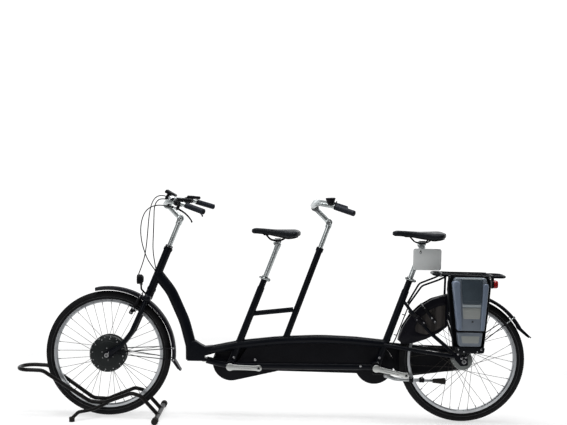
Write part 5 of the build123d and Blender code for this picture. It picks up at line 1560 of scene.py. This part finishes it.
def ring_lock():
    m = Mesh()
    deg = math.degrees(math.atan2(246, 548 - AX))
    c = around(0, 303, deg)
    rad = unit(around(0, 1, deg) - np.array((0, 0, AX)))
    tan = np.array((rad[2], 0, -rad[0]))
    yv = np.array((0, 1.0, 0))
    path = [(-45, -46), (-46, -20), (-45, 6), (-38, 30), (-22, 46), (0, 52), (22, 46), (38, 30), (45, 6), (46, -20), (45, -46)]
    pts = spline([c + yv * a + rad * b for a, b in path], 8)
    n = len(pts)
    loops = []
    for i, p in enumerate(pts):
        t = unit(pts[min(n - 1, i + 1)] - pts[max(0, i - 1)])
        out = unit(np.cross(t, tan))
        if out.dot(p - c - rad * -20) < 0:
            out = -out
        q = i / (n - 1)
        wide = 7.6 + 8.0 * math.exp(-((q - 0.5) / 0.26) ** 2)
        thick = 11.6 * (0.86 + 0.14 * math.sin(math.pi * q))
        end = min(1.0, 0.55 + 0.45 * math.sqrt(max(0, min(q, 1 - q)) / 0.03)) if min(q, 1 - q) < 0.03 else 1.0
        loops.append([p + out * (wide * end * math.copysign(abs(math.cos(a)) ** 0.6, math.cos(a)) + wide * 0.35) + tan * thick * end * math.copysign(abs(math.sin(a)) ** 0.6, math.sin(a))
                      for a in np.linspace(0, TAU, 28, endpoint=False)])
    m.rings(loops, 0)
    # left housing with the key barrel, right side with the thumb lever
    k = c + yv * 50 + rad * 6
    m.rbox(k, (30, 26, 52), 8.0, rot_y(deg), 0, 4)
    # clamp covers that hold the lock on the stays
    for s in (1, -1):
        for q in (-30, 30):
            g = c + yv * s * 60 + tan * q * 0.2 + rad * (q * 0.62 + 4)
            m.rbox(g, (22, 15, 17), 5.0, rot_y(deg), 2, 3)
            m.bolt(g + yv * s * 7.4, (0, s, 0), 3.6, 2.4, mat=1, dark=0)
    kb = k + tan * -12.5
    m.lathe([(0, 9.4), (2.0, 9.2), (2.6, 8.2), (2.6, 6.0)], kb, -tan, 32, 1)
    m.lathe([(0, 6.2), (2.2, 6.0), (2.6, 5.2)], kb, -tan, 24, 2)
    m.sweep([k + yv * 8 + tan * 2, k + yv * 14 + tan * 2, k + yv * 17 + tan * 2], 4.6, 14, 2)
    k2 = c - yv * 50 + rad * 4
    m.rbox(k2, (24, 20, 38), 6.5, rot_y(deg), 0, 4)
    m.rbox(k2 - tan * 14 - rad * 6, (9, 12, 22), 3.6, rot_y(deg), 2, 3)
    for s in (1, -1):
        m.bolt(c + yv * s * 26 + rad * 40 - tan * 12.4, -tan, 3.8, 2.4, mat=1, dark=0)
    o = m.obj("ring_lock_body", [M["plastic"], M["steel"], M["guard"]], "frame", "plastic_black", 40)
    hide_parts("ring_lock")


ring_lock()


def rim_brake(name, node, cx, deg, y_out, body):
    m = Mesh()
    rad = unit(around(cx, 1, deg) - np.array((cx, 0, AX)))
    tan = np.array((rad[2], 0, -rad[0]))
    for s in (1, -1):
        A = lambda r, y, dd=0.0: around(cx, r, deg + dd, s * y)
        m.cyl(A(250, y_out - 4), A(250, y_out + 13), 8.6, 26, 0, 1.2)
        m.bolt(A(250, y_out + 12.6), (0, s, 0), 5.4, 3.0, mat=1, dark=0)
        arm = spline([A(246, y_out + 4), A(272, y_out + 6), A(300, y_out + 5), A(326, y_out + 1), A(343, y_out - 2)], 9)
        k = len(arm)
        m.sweep(arm, [10.8 - 3.4 * i / k for i in range(k)], 18, 0, ref=(0, 1, 0), flat=(0.50, 1.0))
        # shoe holder and block, slightly curved to the rim
        shoe = [A(276.5, 17.6, q) for q in np.linspace(-6.2, 6.2, 15)]
        m.sweep(shoe, 4.3, 16, 2, ref=(0, 1, 0), flat=(0.95, 1.0))
        shoe2 = [A(276.5, 22.2, q) for q in np.linspace(-4.6, 4.6, 11)]
        m.sweep(shoe2, 3.0, 14, 0, ref=(0, 1, 0), flat=(0.8, 1.15))
        m.cyl(A(277, 22), A(277, y_out + 10), 3.0, 14, 1)
        m.lathe([(0, 6.4), (1.6, 6.4), (2.2, 5.6)], A(277, y_out - 3), (0, -s, 0), 22, 1)
        m.bolt(A(277, y_out + 8.5), (0, s, 0), 4.6, 4.2, "hex", 1, 0)
        # return spring wire behind the arm
        sp = spline([A(252, y_out + 1, 1.6), A(276, y_out - 2, 1.8), A(304, y_out - 1, 1.5), A(312, y_out + 2, 0.8)], 6)
        m.sweep(sp, 0.9, 8, 1)
        # clamp at the arm's tip
        m.rbox(A(340, y_out - 1), (14, 11, 15), 3.4, rot_y(deg), 0, 3)
        m.bolt(A(340, y_out + 3.4), (0, s, 0), 3.4, 2.4, mat=1, dark=0)
    # curved lead pipe and the bare wire across the top
    pipe = spline([around(cx, 341, deg, y_out + 1) + tan * 2, around(cx, 356, deg, y_out - 4), around(cx, 362, deg, y_out - 18), around(cx, 362, deg, y_out - 32)], 8)
    m.sweep(pipe, 2.4, 12, 1)
    boot = spline([around(cx, 362, deg, y_out - 30), around(cx, 361, deg, 0), around(cx, 352, deg, -y_out + 8)], 8)
    m.sweep(boot, [3.2 + 0.5 * (i % 2) for i in range(len(boot))], 12, 2)
    wire = spline([around(cx, 352, deg, -y_out + 8), around(cx, 345, deg, -y_out + 2), around(cx, 341, deg, -y_out)], 4)
    m.sweep(wire, 0.9, 8, 1)
    o = m.obj(name, [M["plastic"], M["steel"], M["foot"]], body, "plastic_black", 40)
    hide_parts(node)


rim_brake("front_rim_brake", "front_brake", WB, -28.5, 36.0, "steering")
rim_brake("rear_rim_brake", "rear_brake", 0.0, 37.0, 38.0, "frame")


# ------------------------------------------------------------------ cranks
def crank(name, node, bb, length, deg, body):
    a = math.radians(deg)
    dx, dz = -math.cos(a), math.sin(a)
    m = Mesh()
    holes = []
    for s in (1, -1):
        ux = np.array((s * dx, 0, s * dz))
        uy = np.array((0, 0, 1.0)) - ux * ux[2]
        uy = unit(uy)
        uz = np.cross(ux, uy)
        sg = 1.0 if uz[1] * s > 0 else -1.0
        if sg < 0:
            uy = -uy
        fr = (np.array((bb[0], 0, bb[1])), ux, uy)
        # outline: a round boss, a waist and a round eye
        pts = []
        r0, r1 = 19.4, 15.8
        for t in np.linspace(math.radians(52), math.radians(308), 30):
            pts.append((r0 * math.cos(t), r0 * math.sin(t)))
        for q in np.linspace(0.12, 0.88, 14):
            h = 11.6 + (13.0 - 11.6) * (1 - q) + 2.0 * (2 * q - 1) ** 2
            pts.append((length * q, -h))
        for t in np.linspace(math.radians(-112), math.radians(112), 26):
            pts.append((length + r1 * math.cos(t), r1 * math.sin(t)))
        for q in np.linspace(0.88, 0.12, 14):
            h = 11.6 + (13.0 - 11.6) * (1 - q) + 2.0 * (2 * q - 1) ** 2
            pts.append((length * q, h))
        m.plate(pts, fr, 80.4, 93.2, 3.6, 0, 4)
        hp = fr[0] + ux * length
        axis = np.array((0, float(s), 0))
        o = fr[0]
        # raised rings at the boss and the eye, self-locking cap
        m.ring_of([(92.4, 15.4), (93.6, 15.0), (94.0, 13.6), (93.4, 11.6), (92.4, 11.4)], o, axis, 44, 0)
        m.lathe([(91.6, 11.2), (93.6, 11.0), (94.3, 9.4), (94.5, 3.0), (94.2, 2.6), (94.2, 0.2)], o, axis, 36, 1)
        m.ring_of([(92.4, 7.25), (93.5, 7.4), (93.9, 8.6), (93.3, 10.4), (92.4, 10.8)], hp, axis, 36, 0)
        h = Mesh()
        h.cyl(hp + axis * 76, hp + axis * 98, 7.05, 32, 0, 0.1)
        holes.append(h)
        # sunk flute along the outer face
        f = Mesh()
        f.rbox(o + ux * (length * 0.52) + axis * 94.6, (length * 0.52, 6.0, 8.5), 2.9, np.stack([ux, axis, np.cross(ux, axis)], 1), 0, 4)
        holes.append(f)
        # spindle and inner boss
        m.cyl(o + axis * (66.0 if s > 0 else 72.0), o + axis * 81, 12.0, 32, 2, 1.0)
        m.cyl(o + axis * (0.2 if s > 0 else 0.1), o + axis * 74, 8.5, 28, 2, 0.2)
    ob = m.obj(name, [M["crank"], M["plastic"], M["steel"]], body, "crank_alu", 34)
    boolean(ob, holes)
    t = Mesh()
    for s in (1, -1):
        hp = np.array((bb[0] + s * dx * length, 0, bb[1] + s * dz * length))
        for k in range(9):
            t.ring_of([(0, 7.05), (0.5, 6.6), (1.0, 7.05)], hp + np.array((0, s * (81.6 + k * 1.27), 0)), (0, s, 0), 28, 0)
    t.obj(name + "_threads", [M["steel"]], body, "crank_alu", 30)
    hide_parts(node)
    if node.replace("crankset", "spindle") in NODES:
        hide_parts(node.replace("crankset", "spindle"))


crank("rear_crank_arms", "rear_crankset", (451, 286), 158.0, -12.3, "rear_cranks")
crank("front_crank_arms", "front_crankset", (1203, 281), 148.0, -1.4, "front_cranks")


# ------------------------------------------------------------------ kickstand
def kickstand():
    m = Mesh()
    m.cyl((398, 46.4, 246), (398, 63.6, 246), 12.8, 36, 0, 1.4)
    m.bolt((398, 63.2, 246), (0, 1, 0), 6.0, 3.6, "hex", 2, 1)
    body = spline([(396, 56, 245), (376, 56.6, 237), (350, 57.0, 229), (312, 57.7, 226), (268, 58.6, 225)], 9)
    k = len(body)
    m.sweep(body, [10.2 - 1.4 * i / k for i in range(k)], 24, 0, ref=(0, 1, 0), flat=(0.88, 1.0))
    # rib along the cast body
    m.sweep([p + np.array((0, 8.0, 0)) for p in body[4:-6]], 1.8, 10, 0)
    m.cyl((284, 58.3, 225.4), (198, 60.0, 224.2), 8.6, 28, 0, 0.8)
    for x0, x1 in ((279, 257), (227, 201)):
        m.cyl((x0, 58.4, 225.7), (x1, 59.4, 224.8), 12.2, 30, 1, 2.0)
        xm = (x0 + x1) / 2
        m.rbox((xm, 59, 236.5), (15, 11, 9), 2.4, None, 1, 3)
        m.bolt((xm, 64.4, 236.5), (0, 1, 0), 3.2, 2.4, mat=2, dark=1)
        for dx in (-6.5, 6.5):
            m.ring_of([(-0.8, 11.8), (-0.5, 12.4), (0.5, 12.4), (0.8, 11.8)], (xm + dx, 59, 225), (1, 0, 0), 30, 1)
    m.cyl((204, 60, 224.2), (134, 61.4, 223.2), 6.9, 24, 0, 0.6)
    o = m.obj("kickstand_arm", [M["kick"], M["plastic"], M["steel"]], "kickstand", "alu_silver", 36)
    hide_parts("kickstand_leg")
    f = Mesh()
    a, b = np.array((158, 60.8, 223.4)), np.array((92, 62.2, 222.4))
    L = np.linalg.norm(b - a)
    prof = [(0, 8.6), (0.8, 10.2), (3, 10.9), (6, 10.6), (8, 11.4), (24, 12.4), (40, 14.0), (54, 15.8), (60, 16.5), (63, 16.4), (L - 1, 15.2), (L, 13.0)]
    f.lathe(prof, a, b - a, 40, 0)
    for q in range(5):
        f.ring_of([(0, 12.0 + q * 0.7), (0.4, 13.3 + q * 0.75), (2.0, 13.5 + q * 0.75), (2.4, 12.2 + q * 0.7)], lin(a, b, 0.42 + q * 0.1), b - a, 36, 0)
    o = f.obj("kickstand_shoe", [M["foot"]], "kickstand", "plastic_black", 36)
    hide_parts("kickstand_foot")
    g = Mesh()
    for x in (412, 448):
        g.bolt((x, 30, 259.2), (0, 0, 1), 4.6, 3.0, mat=1, dark=0)
    g.ring_of([(0, 8.4), (0.5, 11.6), (1.6, 11.6), (2.1, 8.4)], (398, 42.8, 246), (0, 1, 0), 36, 0)
    g.obj("kickstand_mount_trim", [M["plastic"], M["steel"]], "frame", "plastic_black", 36)

kickstand()


# ------------------------------------------------------------------ mudguard trim, carrier trim, cases, stand
def spoon(m, cx, deg, drop, kick, mat):
    """Soft end flap, dished towards the wheel, on the flat strip below the mudguard's tail."""
    a = math.radians(deg)
    p = around(cx, 344.5, deg)
    t = np.array((-math.cos(a), 0, math.sin(a)))
    n = np.array((math.sin(a), 0, math.cos(a)))
    loops = []
    for u in np.linspace(-0.16, 0.94, 26):
        c = p + t * drop * u + n * kick * max(0.0, u)
        half = 27.5 - 5.0 * max(0.0, u) ** 2
        deep = 15.0 - 5.0 * max(0.0, u)
        if u > 0.8:
            half *= 1.0 - 0.30 * ((u - 0.8) / 0.14) ** 2
        out, inn = [], []
        for q in np.linspace(-1, 1, 19):
            d = n * (4.6 - deep * abs(q) ** 2.2)
            out.append(c + d + np.array((0, half * q, 0)))
            inn.append(c + d - n * 2.6 + np.array((0, (half - 1.6) * q, 0)))
        loops.append(out + inn[::-1])
    m.rings(loops, mat)
    m.bolt(p - t * drop * 0.06 + n * 4.4, n, 4.0, 2.4, mat=2, dark=0)


def guard_trim():
    for key, cx, a0, a1, body in (("front", WB, -96.0, 12.0, "steering"), ("rear", 0.0, -62.0, 74.0, "frame")):
        m = Mesh()
        # rolled edges
        for s in (1, -1):
            edge = [around(cx, 334.6, a, s * 28.4) for a in np.linspace(a0 + 0.4, a1 - 0.4, 110)]
            m.sweep(edge, 1.5, 10, 0)
        # low crease lines on the crown
        for y in (-9.5, 9.5):
            m.sweep([around(cx, 349.45, a, y) for a in np.linspace(a0 + 2, a1 - 2, 110)], 0.9, 8, 0)
        if key == "rear":
            for s in (1, -1):
                a, b = np.array((-60, s * 68, 402.5)), np.array((350 * math.sin(math.radians(-48.5)), s * 29.5, AX + 344 * math.cos(math.radians(-48.5))))
                m.cyl(lin(a, b, 0.80), lin(a, b, 1.0), 2.9, 16, 3, 0.5)
                m.bolt(b + np.array((0, s * 1.4, 0)), (0, s, 0), 4.2, 2.6, "hex", 2, 0)
                m.rbox(lin(a, b, 0.985), (12, 5, 12), 2.0, rot_y(48), 0, 2)
        else:
            for s in (1, -1):
                for dg in (-84.0, -94.5):
                    a = np.array((cx - 12, s * 64.6, AX + 12))
                    b = around(cx, 342, dg, s * 30)
                    m.cyl(lin(a, b, 0.90), lin(a, b, 1.0), 2.8, 14, 0, 0.4)
                    m.bolt(b + np.array((0, s * 1.2, 0)), (0, s, 0), 3.8, 2.4, "hex", 2, 0)
                m.bolt((cx - 12, s * 66.6, AX + 12), (0, s, 0), 4.4, 3.0, "hex", 2, 0)
        spoon(m, cx, *((-95.0, 50.0, 36.0) if key == "front" else (-61.0, 66.0, 22.0)), 1)
        m.obj(key + "_guard_trim", [M["guard"], M["flap"], M["steel"], M["alu"]], body, "guard_black", 40)


guard_trim()


def carrier_trim():
    m = Mesh()
    z = 768.0
    for s in (1, -1):
        for x, zz in ((84, z), (-122, z), (128, z + 2)):
            m.ring_of([(-7, 7.0), (-6, 8.0), (6, 8.0), (7, 7.0)], (x, s * 62, zz), (1, 0, 0), 28, 0)
            m.bolt((x, s * 69.6, zz), (0, s, 0), 4.2, 3.0, "hex", 1, 0)
        # lashing hooks below the side rails
        for x in (20, -70):
            m.sweep(spline([(x + 10, s * 64, z - 5), (x + 9, s * 68, z - 16), (x, s * 69, z - 20), (x - 9, s * 68, z - 16), (x - 10, s * 64, z - 5)], 6), 2.4, 10, 0)
    for x in (-140, -30, 90):
        for s in (1, -1):
            weld(m, (x, s * 30, z + 1), (0, s, 0), 4.5, (x, s * 62, z), (1, 0, 0), 7.0, 1.2, n=24, start=10)
    # spring flap on top, hinged at the front
    flap = filleted([(118, -40, z + 9), (-120, -40, z + 8), (-120, 40, z + 8), (118, 40, z + 9)], [26, 26], 4.0)
    m.sweep(flap, 3.0, 12, 0)
    for y in (-40, 40):
        for k in range(9):
            m.ring_of([(0, 3.2), (0.6, 5.0), (1.8, 5.0), (2.4, 3.2)], (118, y - math.copysign(3 + k * 2.6, y), z + 8), (0, 1, 0), 18, 1)
    m.cyl((118, -44, z + 8), (118, 44, z + 8), 3.0, 16, 0)
    m.obj("carrier_trim", [M["frame"], M["steel"]], "frame", "frame_black", 40)


carrier_trim()


def case_trim():
    m = Mesh()
    for cx, cz, r, y in ((1203, 280, 98, -70.0), (451, 280, 102, -70.0), (276, 304, 84, -61.5), (8, 320.5, 62, -61.5)):
        m.ring_of([(0, r - 8), (0.9, r - 7), (0.9, r - 5), (0, r - 4)], (cx, y, cz), (0, -1, 0), 96, 0)
        m.ring_of([(0, r * 0.45), (0.7, r * 0.45 + 1), (0.7, r * 0.45 + 2.4), (0, r * 0.45 + 3.4)], (cx, y, cz), (0, -1, 0), 72, 0)
        for k in range(6):
            t = TAU * k / 6 + 0.3
            if y < -65 or abs(cx - 8) < 1:
                m.bolt((cx + (r - 15) * math.cos(t), y, cz + (r - 15) * math.sin(t)), (0, -1, 0), 3.8, 2.0, mat=1, dark=0)
    for z0, z1, x0, x1 in ((391, 397, 560, 1060), (247, 247, 540, 960)):
        m.sweep([(x0 + (x1 - x0) * q, -70.2, z0 + (z1 - z0) * math.sin(q * math.pi)) for q in np.linspace(0, 1, 30)], 1.4, 8, 0)
    for x in (620, 740, 860, 980):
        for z in (262, 380):
            m.bolt((x, -70.0, z), (0, -1, 0), 3.8, 2.0, mat=1, dark=0)
    m.obj("chain_case_trim", [M["case"], M["steel"]], "frame", "case_black", 40)


case_trim()


def stand_trim():
    m = Mesh()
    for s in (1, -1):
        # beads where the side tubes and legs meet
        weld(m, (1573, s * 64, 20), (-0.72, 0, -0.7), 10.0, (1573, 0, 17), (0, 1, 0), 12.0, 2.0, start=60)
        weld(m, (1842, s * 44, 72), (-63, s * -34, 26), 9.0, (1852, s * 42, 74), (0.99, 0, 0.05), 10.0, 1.8, n=28, start=40)
        # ribbed rubber caps
        for k in range(4):
            m.ring_of([(0, 16.4), (0.5, 17.0), (2.0, 17.0), (2.5, 16.4)], (1573, s * (164 + k * 6), 17), (0, s, 0), 40, 1)
        m.lathe([(0, 16.9), (1.2, 15.6), (1.8, 13.0), (1.2, 11.0), (1.2, 0.2)], (1573, s * 191.4, 17), (0, s, 0), 36, 1)
        m.ring_of([(0, 13.4), (0.5, 14.2), (2.0, 14.2), (2.5, 13.4)], (1999, s * 147, 6), (0, 0, 1), 36, 1)
        m.ring_of([(0, 13.4), (0.5, 14.2), (2.0, 14.2), (2.5, 13.4)], (1999, s * 147, 13), (0, 0, 1), 36, 1)
    m.obj("stand_beads_and_caps", [M["stand"], M["foot"]], "steering", "stand_black", 44)


stand_trim()


def fork_trim():
    m = Mesh()
    for s in (1, -1):
        weld(m, (1645, s * 40, 606), (1645 - 1671, s * (40 - 50), 606 - 548), 12.5, (1581 + (768 - 622) * 0.396, 0, 622), (0, 1, 0), 19.0, 1.8, start=50)
        m.bolt((1841 - 40, s * 62.0, AX + 32), (0, s, 0), 4.4, 3.2, "hex", 1, 0)
    m.bolt(steer(622, 19.5), (0.93, 0, 0.368), 5.2, 3.2, "hex", 1, 0)
    # grommets where the cables enter the head tube
    for y in (13.3, -13.3):
        p = np.array((1602.4, y, 766.0))
        ax0 = steer(760)
        out = p - ax0
        out = unit(out - STEER_AX * out.dot(STEER_AX))
        m.lathe([(0.1, 4.6), (0.5, 5.0), (1.0, 5.0), (2.8, 3.9), (3.2, 3.2)], p - out * 0.3, out, 20, 2)
    for k, z in enumerate((884.5, 888.5)):
        m.ring_of([(0, 17.5), (0.3, 20.2), (2.6, 20.2), (2.9, 17.5)], steer(z), STEER_AX, 48, 1 if k else 0)
    m.obj("fork_trim", [M["fork"], M["steel"], M["foot"]], "steering", "fork_black", 44)


fork_trim()


# ------------------------------------------------------------------ blank tag
def tag():
    m = Mesh()
    x0, x1, z0, z1 = TAG
    nx, nz = 30, 24
    top, bot = [], []
    out = rounded([(x0, z0, 12), (x1, z0, 12), (x1, z1, 12), (x0, z1, 12)], 6)
    m.plate(out, XZ, -16.7, -15.4, 0.4, 0, 2)
    # raised hem, eyelet and the tie round the post
    loop = [np.array((x, 16.6, z)) for x, z in rounded([(x0 + 4, z0 + 4, 9), (x1 - 4, z0 + 4, 9), (x1 - 4, z1 - 4, 9), (x0 + 4, z1 - 4, 9)], 6)]
    loop.append(loop[0])
    m.sweep(loop, 0.5, 6, 0, round_ends=False)
    px = 219.5 + 0.3592 * 16
    pz = 905 - 16
    d = unit((-0.338, 0, 0.941))
    m.ring_of([(-1.6, 13.9), (-1.6, 15.3), (1.6, 15.3), (1.6, 13.9)], (px, 0, pz), d, 48, 1)
    m.rbox((px + 3, 15.6, pz), (7, 5, 6), 1.4, None, 1, 3)
    m.ring_of([(-0.3, 3.4), (0.5, 3.6), (0.5, 6.2), (-0.3, 6.4)], (px + 3, 16.5, pz - 8), (0, 1, 0), 30, 2)
    o = m.obj("hanging_card", [M["tag"], M["plastic"], M["steel"]], "frame", "tag_white", 44)
    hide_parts("blank_tag")


TAG = (120.0, 266.0, 790.0, 902.0)
if abs((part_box("blank_tag")[0].x * 1000 + X_MID) - 104.0) < 3.0:
    TAG = (104.0, 250.0, 790.0, 902.0)
tag()


# ------------------------------------------------------------------ floor, light and world
def stage():
    me = bpy.data.meshes.new("floor")
    n = 96
    verts, faces = [(0, 0, 0)], []
    radii = [1.0, 2.0, 3.0, 4.5, 6.0, 9.0, 14.0, 25.0, 60.0]
    for r in radii:
        verts += [(r * math.cos(TAU * i / n), r * math.sin(TAU * i / n), 0) for i in range(n)]
    for i in range(n):
        faces.append((0, 1 + i, 1 + (i + 1) % n))
    for k in range(len(radii) - 1):
        for i in range(n):
            a, b = 1 + k * n + i, 1 + k * n + (i + 1) % n
            faces.append((a, a + n, b + n, b))
    me.from_pydata(verts, [], faces)
    o = bpy.data.objects.new("floor", me)
    o.location.z = -0.0006
    bpy.context.scene.collection.objects.link(o)
    n_ = Nodes("floor_paper")
    sep = n_.new("ShaderNodeVectorMath")
    sep.operation = "LENGTH"
    n_.link(n_.co, sep.inputs[0])
    xyz = n_.new("ShaderNodeSeparateXYZ")
    n_.link(n_.co, xyz.inputs[0])

    def smooth(v, a, b):
        k = n_.new("ShaderNodeMapRange")
        k.interpolation_type = "SMOOTHSTEP"
        k.inputs["From Min"].default_value = a
        k.inputs["From Max"].default_value = b
        n_.link(v, k.inputs["Value"])
        return k.outputs[0]
    paper = n_.ramp(n_.noise(3.0, 3.0), [(0.3, (0.88, 0.88, 0.88)), (0.7, (0.91, 0.91, 0.91))])
    # the white paper ends in front of the object, on a dark studio floor
    n_.color(n_.mix(smooth(xyz.outputs["Y"], 0.9, 1.9), paper, (0.05, 0.05, 0.055)))
    n_.rough(n_.remap(n_.noise(80.0), 0.85, 0.95))
    n_.set(Specular_IOR_Level=0.1)
    glow = n_.new("ShaderNodeEmission")
    glow.inputs["Color"].default_value = (1, 1, 1, 1)
    glow.inputs["Strength"].default_value = WORLD
    mix = n_.new("ShaderNodeMixShader")
    back = smooth(n_.math("MULTIPLY", xyz.outputs["Y"], -1.0), 0.2, 1.4)
    near = n_.math("MULTIPLY", n_.math("SUBTRACT", 1.0, smooth(xyz.outputs["Y"], 0.9, 1.9)), 0.55)
    far = n_.math("MULTIPLY", smooth(sep.outputs["Value"], 1.2, 3.2), back)
    n_.link(n_.math("MAXIMUM", near, far), mix.inputs[0])
    n_.link(n_.bsdf.outputs[0], mix.inputs[1])
    n_.link(glow.outputs[0], mix.inputs[2])
    n_.link(mix.outputs[0], n_.out.inputs[0])
    me.materials.append(n_.mat)


WORLD = 1.12


def lights():
    w = bpy.data.worlds.new("studio")
    bpy.context.scene.world = w
    w.use_nodes = True
    t = w.node_tree
    bg = t.nodes["Background"]
    tc = t.nodes.new("ShaderNodeTexCoord")
    sp = t.nodes.new("ShaderNodeSeparateXYZ")
    t.links.new(tc.outputs["Generated"], sp.inputs[0])

    def ramp(sock, a, b, lo, hi):
        k = t.nodes.new("ShaderNodeMapRange")
        k.interpolation_type = "SMOOTHSTEP"
        k.inputs["From Min"].default_value = a
        k.inputs["From Max"].default_value = b
        k.inputs["To Min"].default_value = lo
        k.inputs["To Max"].default_value = hi
        t.links.new(sock, k.inputs["Value"])
        return k.outputs[0]
    # a white wall behind the object, a dim room on the other side
    a = ramp(sp.outputs["Y"], -0.55, -0.15, 1.0, 0.0)
    b = ramp(sp.outputs["Z"], 0.42, 0.72, 1.0, 0.0)
    mul = t.nodes.new("ShaderNodeMath")
    mul.operation = "MULTIPLY"
    t.links.new(a, mul.inputs[0])
    t.links.new(b, mul.inputs[1])
    st = ramp(mul.outputs[0], 0.0, 1.0, 0.16, WORLD)
    bg.inputs[0].default_value = (0.97, 0.985, 1.0, 1)
    t.links.new(st, bg.inputs[1])

    def area(name, loc, aim, size, power):
        d = bpy.data.lights.new(name, "AREA")
        d.shape = "RECTANGLE"
        d.size, d.size_y = size
        d.energy = power
        o = bpy.data.objects.new(name, d)
        o.location = loc
        o.rotation_euler = (Vector(aim) - Vector(loc)).to_track_quat("-Z", "Y").to_euler()
        bpy.context.scene.collection.objects.link(o)
    area("top_soft", (0.0, 0.1, 3.8), (0, 0, 0), (4.6, 1.6), 170)
    area("front_soft", (2.2, 3.6, 2.2), (0.2, 0, 0.6), (1.2, 1.2), 42)
    area("back_soft", (-1.6, -3.6, 2.4), (0, 0, 0.6), (2.4, 1.4), 12)


bpy.context.scene.view_settings.view_transform = "Standard"
stage()
lights()
bpy.context.view_layer.update()
